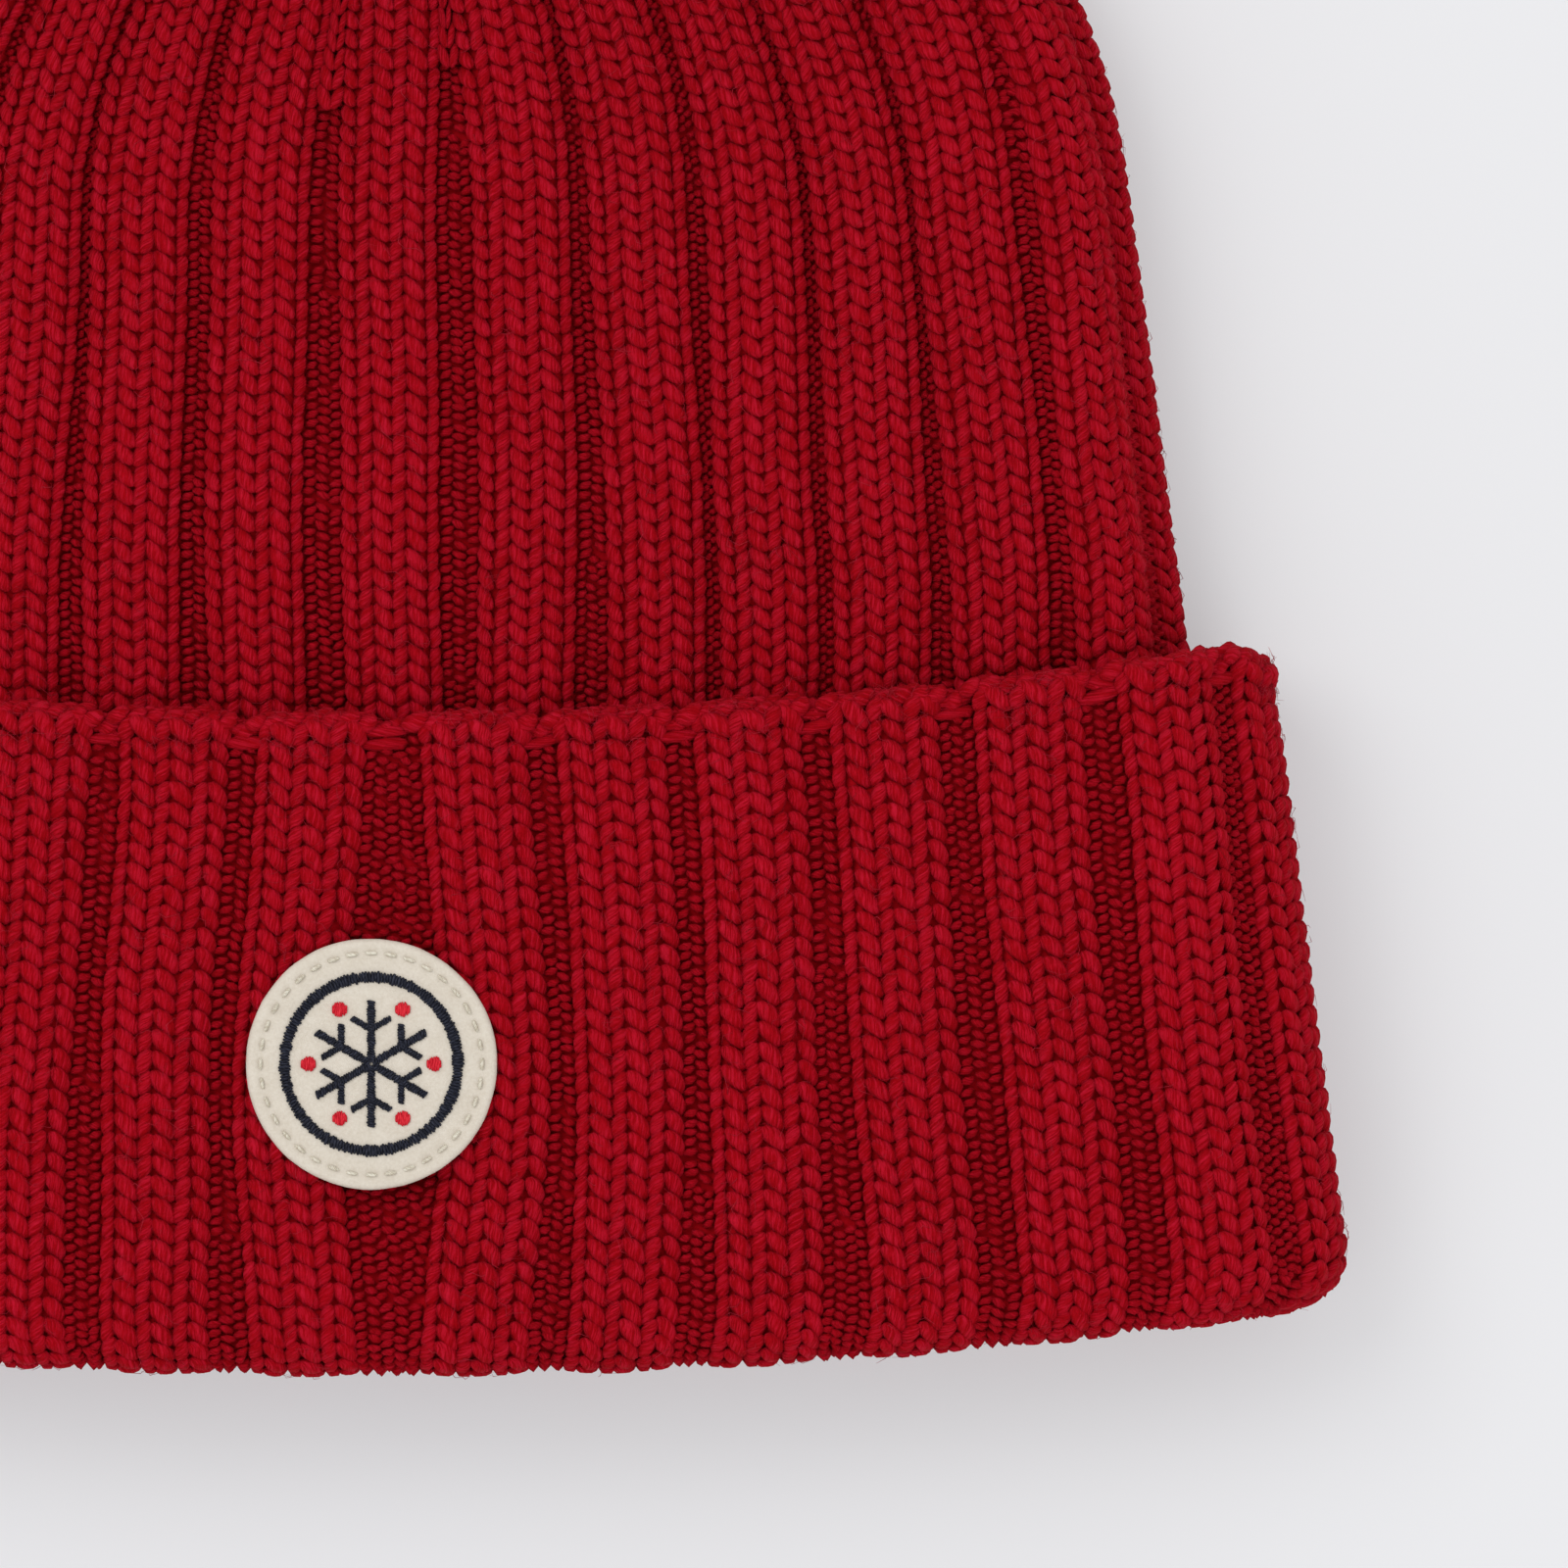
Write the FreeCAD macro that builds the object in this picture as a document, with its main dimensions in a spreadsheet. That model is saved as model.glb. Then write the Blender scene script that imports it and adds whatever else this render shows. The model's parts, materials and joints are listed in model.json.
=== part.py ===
import FreeCAD, Part
import math
import os

import Sketcher

# A knitted beanie with a turned-up cuff and a pom pom, lying flat on its back.
# X is across the hat, Y runs from the mouth (-Y) to the pom pom (+Y), Z is up out of the hat's front.
# Stations along the hat are measured from the fold at the mouth.

SIZES = {
    "fold_y": (-156.0, "place of the fold in Y, which centres the hat with its pom pom"),
    "knit_wall": (5.5, "thickness of the ribbed knit"),
    "layer_gap": (0.3, "gap between the cuff and the inner band"),
    "cuff_tall": (84.0, "height of the turned-up cuff, with its cast-on edge"),
    "cuff_thick": (36.0, "thickness of the flat hat at the cuff"),
    "cuff_half_fold": (123.5, "half width of the cuff at the fold"),
    "cuff_half_top": (115.0, "half width of the cuff under its cast-on edge"),
    "edge_tall": (5.0, "height of the cast-on edge"),
    "edge_proud": (0.6, "how far the cast-on edge stands out of the cuff"),
    "edge_round": (1.8, "radius of the cast-on edge's roundings"),
    "fold_round": (5.0, "radius of the rounded fold"),
    "band_half_fold": (117.0, "half width of the inner band at the fold"),
    "band_half_top": (103.6, "half width of the inner band at the cuff's top edge"),
    "drop_station": (100.0, "station where the crown lies on the surface below it"),
    "drop_half": (101.6, "half width of the crown at that station"),
    "crown_high": (30.5, "height of the crown's front above the surface"),
    "shoulder": (150.0, "station where the crown's dome starts"),
    "shoulder_half": (94.7, "half width of the crown at the shoulder"),
    "dome_rise": (76.0, "height of the dome above the shoulder"),
    "tip_half": (8.0, "half width of the gathered tip"),
    "tip_low": (10.0, "underside of the gathered tip"),
    "tip_high": (22.0, "upper side of the gathered tip"),
    "tie_hole": (2.6, "radius of the hole that the tie goes through"),
    "ball_radius": (42.0, "radius of the pom pom"),
    "tether_long": (48.5, "distance from the tie's bend to the pom pom's middle"),
    "bend_gap": (3.0, "distance from the crown's tip to the tie's bend"),
    "bead_radius": (2.3, "radius of the stitch where the tie bends"),
    "strand_radius": (1.7, "radius of the doubled tie yarn"),
    "run_gap": (0.4, "clearance between yarns that move on each other"),
    "binding_radius": (6.0, "radius of the binding round the tufts"),
    "binding_yarn": (1.6, "radius of the binding's bundle of yarn"),
    "gather_radius": (4.6, "radius of the ring of gathering yarn"),
    "gather_yarn": (1.2, "radius of the gathering yarn"),
    "knot_radius": (3.0, "radius of the knot inside the crown"),
    "knot_station": (206.0, "station of the knot"),
    "seam_start": (12.0, "station where the back seam starts"),
    "seam_wide": (5.0, "width of the back seam"),
    "seam_thick": (1.2, "thickness of the back seam"),
    "label_wide": (24.0, "width of the care label"),
    "label_long": (32.0, "length of the care label"),
    "label_thick": (0.6, "thickness of the care label"),
    "label_aside": (15.0, "distance between the back seam and the label's middle"),
    "label_station": (22.0, "station of the label's sewn end"),
    "tack_long": (2.2, "length of a stitch that holds the label"),
    "tack_wide": (0.7, "width and thickness of a stitch that holds the label"),
    "patch_station": (40.0, "station of the patch's middle"),
    "patch_radius": (16.0, "radius of the felt patch"),
    "patch_thick": (1.6, "thickness of the felt"),
    "patch_round": (0.5, "radius of the felt's soft upper edge"),
    "ring_radius": (11.8, "outer radius of the embroidered ring"),
    "ring_wide": (1.5, "width of the embroidered ring"),
    "thread_high": (0.6, "how far embroidery stands out of the felt"),
    "arm_long": (8.2, "length of a snowflake arm"),
    "arm_wide": (1.0, "width of a snowflake arm"),
    "twig_start": (4.4, "distance from the snowflake's middle to a twig"),
    "twig_long": (2.8, "length of a twig"),
    "twig_lean": (60.0, "angle between a twig and its arm, in degrees"),
    "dot_radius": (0.9, "radius of an embroidered dot"),
    "dot_ring": (8.0, "radius of the ring of dots"),
    "stitch_ring": (14.1, "radius of the line of running stitches"),
    "stitch_long": (1.6, "length of one running stitch"),
    "stitch_wide": (0.5, "width of one running stitch"),
}
ARMS = 6
PATCH_STITCHES = 36
LABEL_STITCHES = 7
DOME_SHARES = (0.0, 0.4, 0.65, 0.83, 0.94)
HOLLOW_SHARES = (0.0, 0.4, 0.65, 0.83, 0.9)
SEAM_SHARES = (0.0, 0.4, 0.65)
OVERRUN = 2.0
EXPORT_FOLDER = "parts"

doc = FreeCAD.newDocument("PomPomBeanie")
sheet = doc.addObject("Spreadsheet::Sheet", "Sizes")
for row, (alias, (amount, meaning)) in enumerate(SIZES.items(), start=1):
    sheet.set(f"A{row}", meaning)
    sheet.set(f"B{row}", str(amount))
    sheet.setAlias(f"B{row}", alias)
doc.recompute()

subparts = []


def bound(text):
    """An expression in which every name after @ is a cell of the sheet."""
    return str(text).replace("@", "Sizes.")


def kept(part, name):
    """Marks an object as a sub-part with a label of its own."""
    part.Label = name
    subparts.append(part)
    return part


# ---- Sketches and features of bodies ----


def add_body(name):
    """A new body for one sub-part."""
    return kept(doc.addObject("PartDesign::Body", name), name)


def add_sketch(body, role, offset):
    """A sketch on one of the body's origin planes, moved along the plane's normal."""
    plane = next(item for item in body.Origin.OriginFeatures if item.Role == role)
    sketch = body.newObject("Sketcher::SketchObject", f"{body.Name}_sketch")
    sketch.AttachmentSupport = [(plane, "")]
    sketch.MapMode = "FlatFace"
    sketch.setExpression("AttachmentOffset.Base.z", bound(offset))
    return sketch


def dimension(sketch, kind, places, start, expression):
    """Adds a dimension to a sketch and ties it to an expression."""
    index = sketch.addConstraint(Sketcher.Constraint(kind, *places, start))
    sketch.setExpression(f"Constraints[{index}]", bound(expression))


def slot_section(body, station, half, low, high):
    """A flat-topped section with round ends, across the hat at a station."""
    sketch = add_sketch(body, "XZ_Plane", f"-(@fold_y + {station})")
    middle, radius = 80.0, 10.0
    sketch.addGeometry(
        [
            Part.LineSegment(FreeCAD.Vector(-middle, 0, 0), FreeCAD.Vector(middle, 0, 0)),
            half_circle(middle, radius, -math.pi / 2),
            Part.LineSegment(
                FreeCAD.Vector(middle, 2 * radius, 0), FreeCAD.Vector(-middle, 2 * radius, 0)
            ),
            half_circle(-middle, radius, math.pi / 2),
        ]
    )
    for first in range(4):
        sketch.addConstraint(Sketcher.Constraint("Tangent", first, 2, (first + 1) % 4, 1))
    sketch.addConstraint(Sketcher.Constraint("Horizontal", 0))
    sketch.addConstraint(Sketcher.Constraint("Equal", 1, 3))
    end_radius = f"(({high}) - ({low})) / 2"
    end_middle = f"({half}) - {end_radius}"
    dimension(sketch, "Radius", (1,), radius, end_radius)
    dimension(sketch, "DistanceX", (-1, 1, 1, 3), middle, end_middle)
    dimension(sketch, "DistanceX", (3, 3, -1, 1), middle, end_middle)
    dimension(sketch, "DistanceY", (-1, 1, 1, 3), radius, f"(({high}) + ({low})) / 2")
    return sketch


def half_circle(across, radius, start):
    """The round end of a slot section."""
    circle = Part.Circle(FreeCAD.Vector(across, radius, 0), FreeCAD.Vector(0, 0, 1), radius)
    return Part.ArcOfCircle(circle, start, start + math.pi)


def loft(body, kind, sections):
    """A straight-sided loft through sections, each (station, half width, underside, top)."""
    sketches = [slot_section(body, *section) for section in sections]
    feature = body.newObject(kind, f"{body.Name}_loft")
    feature.Profile = sketches[0]
    feature.Sections = sketches[1:]
    feature.Ruled = True
    doc.recompute()
    return feature


def circle_sketch(body, role, offset, across, up, radii):
    """Circles about one point of a sketch, as closed outlines."""
    sketch = add_sketch(body, role, offset)
    for index, radius in enumerate(radii):
        centre = FreeCAD.Vector(0, 10, 0)
        sketch.addGeometry(Part.Circle(centre, FreeCAD.Vector(0, 0, 1), 5.0 + index))
        dimension(sketch, "Radius", (index,), 5.0 + index, radius)
        dimension(sketch, "DistanceX", (-1, 1, index, 3), 0.0, across)
        dimension(sketch, "DistanceY", (-1, 1, index, 3), 10.0, up)
    return sketch


def pad(body, sketch, length, midplane=False):
    """A pad of a sketch."""
    feature = body.newObject("PartDesign::Pad", f"{body.Name}_pad")
    feature.Profile = sketch
    feature.setExpression("Length", bound(length))
    feature.Midplane = midplane
    doc.recompute()
    return feature


def round_edges(body, feature, chosen, radius):
    """A fillet of the feature's edges that a test chooses."""
    names = [f"Edge{i}" for i, edge in enumerate(feature.Shape.Edges, start=1) if chosen(edge)]
    fillet = body.newObject("PartDesign::Fillet", f"{body.Name}_fillet")
    fillet.Base = (feature, names)
    fillet.setExpression("Radius", bound(radius))
    doc.recompute()


def at_y(station):
    """A test for edges that lie across the hat at a station."""
    place = float(sheet.get("fold_y")) + station
    return lambda edge: edge.BoundBox.YMin > place - 0.01 and edge.BoundBox.YMax < place + 0.01


def at_z(height):
    """A test for edges that lie level at a height."""
    return lambda edge: edge.BoundBox.ZMin > height - 0.01 and edge.BoundBox.ZMax < height + 0.01


# ---- Outline of the hat ----


def dome_station(share):
    """Station of a section at a share of the dome's rise."""
    return f"@shoulder + {share} * @dome_rise"


def dome_half(share):
    """Half width there: the dome is half an ellipse."""
    return f"@shoulder_half * sqrt(1 - {share}^2)"


def dome_low(share):
    """Underside there, which lifts off the surface towards the gathered tip."""
    return f"@tip_low * {share}^2"


def dome_high(share):
    """Front there, which comes down towards the gathered tip."""
    return f"@crown_high - (@crown_high - @tip_high) * {share}^2"


def within(section):
    """A section moved in by the thickness of the knit."""
    station, half, low, high = section
    return station, f"{half} - @knit_wall", f"{low} + @knit_wall", f"{high} - @knit_wall"


BAND_LOW = "@knit_wall + @layer_gap"
BAND_HIGH = "@cuff_thick - @knit_wall - @layer_gap"
BAND_START = ("@knit_wall", "@band_half_fold", BAND_LOW, BAND_HIGH)
BAND_TOP = ("@cuff_tall", "@band_half_top", BAND_LOW, BAND_HIGH)
CROWN_DROP = ("@drop_station", "@drop_half", "0", "@crown_high")
CUFF_END = "@cuff_tall - @edge_tall"
TIP_MIDDLE = "(@tip_low + @tip_high) / 2"


def dome_sections(shares):
    """Sections of the dome at shares of its rise."""
    return [(dome_station(s), dome_half(s), dome_low(s), dome_high(s)) for s in shares]


# ---- The knitted tube ----


def make_crown_body():
    """The inner band and the crown, hollow, with a hole for the tie at the tip."""
    body = add_body("crown_body")
    tip = ("@shoulder + @dome_rise", "@tip_half", "@tip_low", "@tip_high")
    outside = [BAND_START, BAND_TOP, CROWN_DROP, *dome_sections(DOME_SHARES), tip]
    loft(body, "PartDesign::AdditiveLoft", outside)
    mouth = (f"@knit_wall - {OVERRUN}", *BAND_START[1:])
    inside = [mouth, BAND_TOP, CROWN_DROP, *dome_sections(HOLLOW_SHARES)]
    loft(body, "PartDesign::SubtractiveLoft", [within(section) for section in inside])
    hole = circle_sketch(
        body, "XZ_Plane", "-(@fold_y + @shoulder + @dome_rise)", 0, TIP_MIDDLE, ["@tie_hole"]
    )
    pocket = body.newObject("PartDesign::Pocket", "crown_body_tie_hole")
    pocket.Profile = hole
    pocket.Midplane = True
    pocket.setExpression("Length", bound(f"2 * (1 - {HOLLOW_SHARES[-1]}) * @dome_rise + {OVERRUN}"))
    doc.recompute()


def make_turn_up_cuff():
    """The outer layer of the cuff and the fold that joins it to the inner band."""
    body = add_body("turn_up_cuff")
    fold = ("0", "@cuff_half_fold", "0", "@cuff_thick")
    top = (CUFF_END, "@cuff_half_top", "0", "@cuff_thick")
    loft(body, "PartDesign::AdditiveLoft", [fold, top])
    start = ("@knit_wall", *fold[1:])
    end = (f"{CUFF_END} + {OVERRUN}", *top[1:])
    loft(body, "PartDesign::SubtractiveLoft", [within(start), within(end)])
    before = (f"-{OVERRUN}", *fold[1:])
    after = (f"@knit_wall + {OVERRUN}", *fold[1:])
    mouth = loft(
        body, "PartDesign::SubtractiveLoft", [within(within(before)), within(within(after))]
    )
    round_edges(body, mouth, at_y(0.0), "@fold_round")


def make_cast_on_edge():
    """The raised edge that ends the cuff."""
    body = add_body("cast_on_edge")
    half, high = "@cuff_half_top + @edge_proud", "@cuff_thick + @edge_proud"
    loft(
        body,
        "PartDesign::AdditiveLoft",
        [(CUFF_END, half, "0", high), ("@cuff_tall", half, "0", high)],
    )
    hollow = [
        (f"{CUFF_END} - {OVERRUN}", "@cuff_half_top", "0", "@cuff_thick"),
        (f"@cuff_tall + {OVERRUN}", "@cuff_half_top", "0", "@cuff_thick"),
    ]
    ring = loft(body, "PartDesign::SubtractiveLoft", [within(section) for section in hollow])
    round_edges(body, ring, at_y(float(sheet.get("cuff_tall"))), "@edge_round")


def make_back_seam():
    """The seam along the inside of the hat's back."""
    body = add_body("back_seam")
    sketch = add_sketch(body, "YZ_Plane", "0")
    line = [("@seam_start", BAND_LOW), ("@cuff_tall", BAND_LOW), ("@drop_station", "0")]
    line += [(dome_station(share), dome_low(share)) for share in SEAM_SHARES]
    under = [(station, f"{low} + @knit_wall") for station, low in line]
    over = [(station, f"{low} + @seam_thick") for station, low in reversed(under)]
    outline = under + over
    starts = [FreeCAD.Vector(-100 + 30 * i, 10, 0) for i in range(len(under))]
    starts += [point + FreeCAD.Vector(0, 2, 0) for point in reversed(starts)]
    for index, point in enumerate(starts):
        sketch.addGeometry(Part.LineSegment(point, starts[(index + 1) % len(starts)]))
    for index in range(len(starts)):
        sketch.addConstraint(
            Sketcher.Constraint("Coincident", index, 2, (index + 1) % len(starts), 1)
        )
    for index, (station, height) in enumerate(outline):
        start = starts[index]
        dimension(sketch, "DistanceX", (-1, 1, index, 1), start.x, f"@fold_y + {station}")
        dimension(sketch, "DistanceY", (-1, 1, index, 1), start.y, height)
    pad(body, sketch, "@seam_wide", midplane=True)


# ---- Yarn ties, made of primitives ----


def primitive(kind, name, sizes, place, turn=None):
    """A Part primitive with its sizes and its place bound to the sheet."""
    part = doc.addObject(kind, name)
    for prop, expression in sizes.items():
        part.setExpression(prop, bound(expression))
    if turn:
        part.Placement = FreeCAD.Placement(FreeCAD.Vector(), turn)
    for axis, expression in zip("xyz", place):
        part.setExpression(f"Placement.Base.{axis}", bound(expression))
    return part


BEND_STATION = "@shoulder + @dome_rise + @bend_gap"
BEND = ("0", f"@fold_y + {BEND_STATION}", TIP_MIDDLE)
BALL_LIFT = f"(@ball_radius - {TIP_MIDDLE})"
BALL_MIDDLE = (
    "0",
    f"@fold_y + {BEND_STATION} + sqrt(@tether_long^2 - {BALL_LIFT}^2)",
    "@ball_radius",
)
ALONG_Y = FreeCAD.Rotation(FreeCAD.Vector(1, 0, 0), -90)


def tether_turn():
    """The rotation that takes Z to the tether's direction, from the tip up to the pom pom."""
    tip_middle = (float(sheet.get("tip_low")) + float(sheet.get("tip_high"))) / 2
    lift = float(sheet.get("ball_radius")) - tip_middle
    rise = math.degrees(math.asin(lift / float(sheet.get("tether_long"))))
    return FreeCAD.Rotation(FreeCAD.Vector(1, 0, 0), rise - 90)


def make_gather_yarn():
    """The ring of yarn drawn through the last row of the crown."""
    place = ("0", "@fold_y + @shoulder + @dome_rise + @gather_yarn", TIP_MIDDLE)
    sizes = {"Radius1": "@gather_radius", "Radius2": "@gather_yarn"}
    kept(primitive("Part::Torus", "gather_ring", sizes, place, ALONG_Y), "crown_gather_yarn")


def make_tie_knot():
    """The knot inside the crown and its strand through the tip."""
    knot_place = ("0", "@fold_y + @knot_station", TIP_MIDDLE)
    knot = primitive("Part::Sphere", "knot", {"Radius": "@knot_radius"}, knot_place)
    reach = f"{BEND_STATION} - @bead_radius - @run_gap - @knot_station"
    sizes = {"Radius": "@strand_radius", "Height": reach}
    strand = primitive("Part::Cylinder", "knot_strand", sizes, knot_place, ALONG_Y)
    tie = kept(doc.addObject("Part::Fuse", "tie"), "tie_knot")
    tie.Base = knot
    tie.Tool = strand


def tether_place(distance):
    """A point on the tether at a distance from the bend."""
    cosine = f"sqrt(1 - ({BALL_LIFT} / @tether_long)^2)"
    return (
        "0",
        f"@fold_y + {BEND_STATION} + ({distance}) * {cosine}",
        f"{TIP_MIDDLE} + ({distance}) * {BALL_LIFT} / @tether_long",
    )


def make_tether():
    """The stitch where the tie bends, and the tie from there to the pom pom's middle."""
    bead = primitive("Part::Sphere", "bead", {"Radius": "@bead_radius"}, BEND)
    kept(bead, "tether_bead")
    start = "@bead_radius + @run_gap"
    sizes = {"Radius": "@strand_radius", "Height": f"@tether_long - ({start})"}
    shank = primitive("Part::Cylinder", "shank", sizes, tether_place(start), tether_turn())
    kept(shank, "tether_shank")


def make_pompom():
    """The ball of cut yarn, with room for its binding and for the tie, and the binding."""
    ring = {"Radius1": "@binding_radius", "Radius2": "@binding_yarn"}
    binding = primitive("Part::Torus", "binding", ring, BALL_MIDDLE, tether_turn())
    kept(binding, "pompom_binding")
    ball = primitive("Part::Sphere", "tufts", {"Radius": "@ball_radius"}, BALL_MIDDLE)
    room = {"Radius1": "@binding_radius", "Radius2": "@binding_yarn + @run_gap / 2"}
    groove = primitive("Part::Torus", "binding_room", room, BALL_MIDDLE, tether_turn())
    bore = {"Radius": "@strand_radius + @run_gap", "Height": "@tether_long + @run_gap"}
    tunnel = primitive("Part::Cylinder", "tie_room", bore, BEND, tether_turn())
    rooms = doc.addObject("Part::MultiFuse", "rooms")
    rooms.Shapes = [groove, tunnel]
    cut = kept(doc.addObject("Part::Cut", "tufts_cut"), "pompom_ball")
    cut.Base = ball
    cut.Tool = rooms


# ---- The label inside ----


def make_care_label():
    """The blank label, flat on the inside of the back, beside the seam."""
    body = add_body("care_label")
    sketch = add_sketch(body, "XY_Plane", f"{BAND_LOW} + @knit_wall + @layer_gap")
    corners = [(3.0, -130.0), (27.0, -130.0), (27.0, -100.0), (3.0, -100.0)]
    points = [FreeCAD.Vector(x, y, 0) for x, y in corners]
    for index, point in enumerate(points):
        sketch.addGeometry(Part.LineSegment(point, points[(index + 1) % 4]))
    for index, kind in enumerate(("Horizontal", "Vertical", "Horizontal", "Vertical")):
        sketch.addConstraint(Sketcher.Constraint("Coincident", index, 2, (index + 1) % 4, 1))
        sketch.addConstraint(Sketcher.Constraint(kind, index))
    dimension(sketch, "DistanceX", (0, 1, 0, 2), 24.0, "@label_wide")
    dimension(sketch, "DistanceY", (1, 1, 1, 2), 30.0, "@label_long")
    dimension(sketch, "DistanceX", (-1, 1, 0, 1), 3.0, "@label_aside - @label_wide / 2")
    dimension(sketch, "DistanceY", (-1, 1, 0, 1), -130.0, "@fold_y + @label_station")
    pad(body, sketch, "@label_thick")


def bar(name, long, wide, high, place, turn, reach="0"):
    """A straight bar of thread, from a distance along its own line."""
    part = doc.addObject("Part::Box", name)
    part.setExpression("Length", bound(long))
    part.setExpression("Width", bound(wide))
    part.setExpression("Height", bound(high))
    angle = math.radians(turn)
    start = f"({reach})"
    side = f"({wide}) / 2"
    x, y, z = place
    part.Placement = FreeCAD.Placement(FreeCAD.Vector(), FreeCAD.Rotation(turn, 0, 0))
    cosine, sine = round(math.cos(angle), 9), round(math.sin(angle), 9)
    part.setExpression("Placement.Base.x", bound(f"{x} + {start} * {cosine} + {side} * {sine}"))
    part.setExpression("Placement.Base.y", bound(f"{y} + {start} * {sine} - {side} * {cosine}"))
    part.setExpression("Placement.Base.z", bound(z))
    return part


def group(name, pieces):
    """One sub-part that is a group of separate solids."""
    compound = kept(doc.addObject("Part::Compound", f"{name}_group"), name)
    compound.Links = pieces


def make_label_stitches():
    """The stitches that hold the label's lower end to the knit."""
    height = f"{BAND_LOW} + @knit_wall + @layer_gap"
    stitches = []
    for index in range(LABEL_STITCHES):
        share = (index + 0.5) / LABEL_STITCHES - 0.5
        place = (
            f"@label_aside + {share} * @label_wide",
            "@fold_y + @label_station - @layer_gap - @tack_long",
            height,
        )
        stitches.append(bar(f"tack_{index}", "@tack_long", "@tack_wide", "@tack_wide", place, 90))
    group("care_label_stitches", stitches)


# ---- The patch on the cuff ----

PATCH_MIDDLE_Y = "@fold_y + @patch_station"
FELT_TOP = "@cuff_thick + @patch_thick"
ON_FELT = ("0", PATCH_MIDDLE_Y, FELT_TOP)


def make_patch_felt():
    """The felt disc sewn to the front of the cuff."""
    body = add_body("patch_felt")
    sketch = circle_sketch(body, "XY_Plane", "@cuff_thick", 0, PATCH_MIDDLE_Y, ["@patch_radius"])
    disc = pad(body, sketch, "@patch_thick")
    top = float(sheet.get("cuff_thick")) + float(sheet.get("patch_thick"))
    round_edges(body, disc, at_z(top), "@patch_round")


def make_patch_ring():
    """The satin-stitch ring on the felt."""
    body = add_body("patch_ring")
    radii = ["@ring_radius", "@ring_radius - @ring_wide"]
    pad(body, circle_sketch(body, "XY_Plane", FELT_TOP, 0, PATCH_MIDDLE_Y, radii), "@thread_high")


def make_patch_snowflake():
    """Six arms with two twigs each."""
    lean = float(sheet.get("twig_lean"))
    bars = []
    for arm in range(ARMS):
        turn = 90 + arm * 360 / ARMS
        bars.append(bar(f"arm_{arm}", "@arm_long", "@arm_wide", "@thread_high", ON_FELT, turn))
        cosine = round(math.cos(math.radians(turn)), 9)
        sine = round(math.sin(math.radians(turn)), 9)
        root = (f"@twig_start * {cosine}", f"{PATCH_MIDDLE_Y} + @twig_start * {sine}", FELT_TOP)
        for side in (-1, 1):
            name = f"twig_{arm}_{side + 1}"
            bars.append(
                bar(name, "@twig_long", "@arm_wide", "@thread_high", root, turn + side * lean)
            )
    flake = kept(doc.addObject("Part::MultiFuse", "snowflake"), "patch_snowflake")
    flake.Shapes = bars


def make_patch_dots():
    """A dot between each two arms."""
    dots = []
    for index in range(ARMS):
        angle = math.radians(90 + (index + 0.5) * 360 / ARMS)
        cosine, sine = round(math.cos(angle), 9), round(math.sin(angle), 9)
        place = (f"@dot_ring * {cosine}", f"{PATCH_MIDDLE_Y} + @dot_ring * {sine}", FELT_TOP)
        sizes = {"Radius": "@dot_radius", "Height": "@thread_high"}
        dots.append(primitive("Part::Cylinder", f"dot_{index}", sizes, place))
    group("patch_dots", dots)


def make_patch_stitches():
    """The running stitches that sew the felt to the cuff."""
    stitches = []
    for index in range(PATCH_STITCHES):
        turn = index * 360 / PATCH_STITCHES
        angle = math.radians(turn)
        cosine, sine = round(math.cos(angle), 9), round(math.sin(angle), 9)
        place = (f"@stitch_ring * {cosine}", f"{PATCH_MIDDLE_Y} + @stitch_ring * {sine}", FELT_TOP)
        name = f"stitch_{index}"
        stitches.append(
            bar(name, "@stitch_long", "@stitch_wide", "@stitch_wide", place, turn + 90, "-@stitch_long / 2")
        )
    group("patch_stitches", stitches)


def check_and_export():
    """Stops if any object failed, then writes one file for each sub-part."""
    doc.recompute()
    failed = [item.Name for item in doc.Objects if {"Invalid", "Error"} & set(item.State)]
    if failed:
        raise RuntimeError(f"these objects failed: {failed}")
    for part in subparts:
        if part.Shape.isNull() or not part.Shape.isValid() or part.Shape.Volume <= 0:
            raise RuntimeError(f"{part.Label} has no valid shape")
    os.makedirs(EXPORT_FOLDER, exist_ok=True)
    for part in subparts:
        part.Shape.exportStep(f"{EXPORT_FOLDER}/{part.Label}.step")
        box = part.Shape.BoundBox
        print(
            f"{part.Label}: {len(part.Shape.Solids)} solids, {part.Shape.Volume:.1f} mm3, "
            f"X {box.XMin:.2f}..{box.XMax:.2f}, Y {box.YMin:.2f}..{box.YMax:.2f}, "
            f"Z {box.ZMin:.2f}..{box.ZMax:.2f}"
        )


make_crown_body()
make_turn_up_cuff()
make_cast_on_edge()
make_back_seam()
make_gather_yarn()
make_tie_knot()
make_tether()
make_pompom()
make_care_label()
make_label_stitches()
make_patch_felt()
make_patch_ring()
make_patch_snowflake()
make_patch_dots()
make_patch_stitches()
check_and_export()
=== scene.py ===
"""A rib-knit beanie with a turned-up cuff, a felt patch and a yarn pom pom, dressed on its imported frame.

Lengths inside the classes are in millimetres, as a knitter would give them, and every mesh is made in
metres. Stations run from the fold at the mouth (0) to the gathered tip, a course is a place along the cloth,
and arcs run round the hat from its front centre.
"""

import json
import logging
import math
from collections.abc import Callable
from dataclasses import dataclass, field
from enum import Enum

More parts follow.
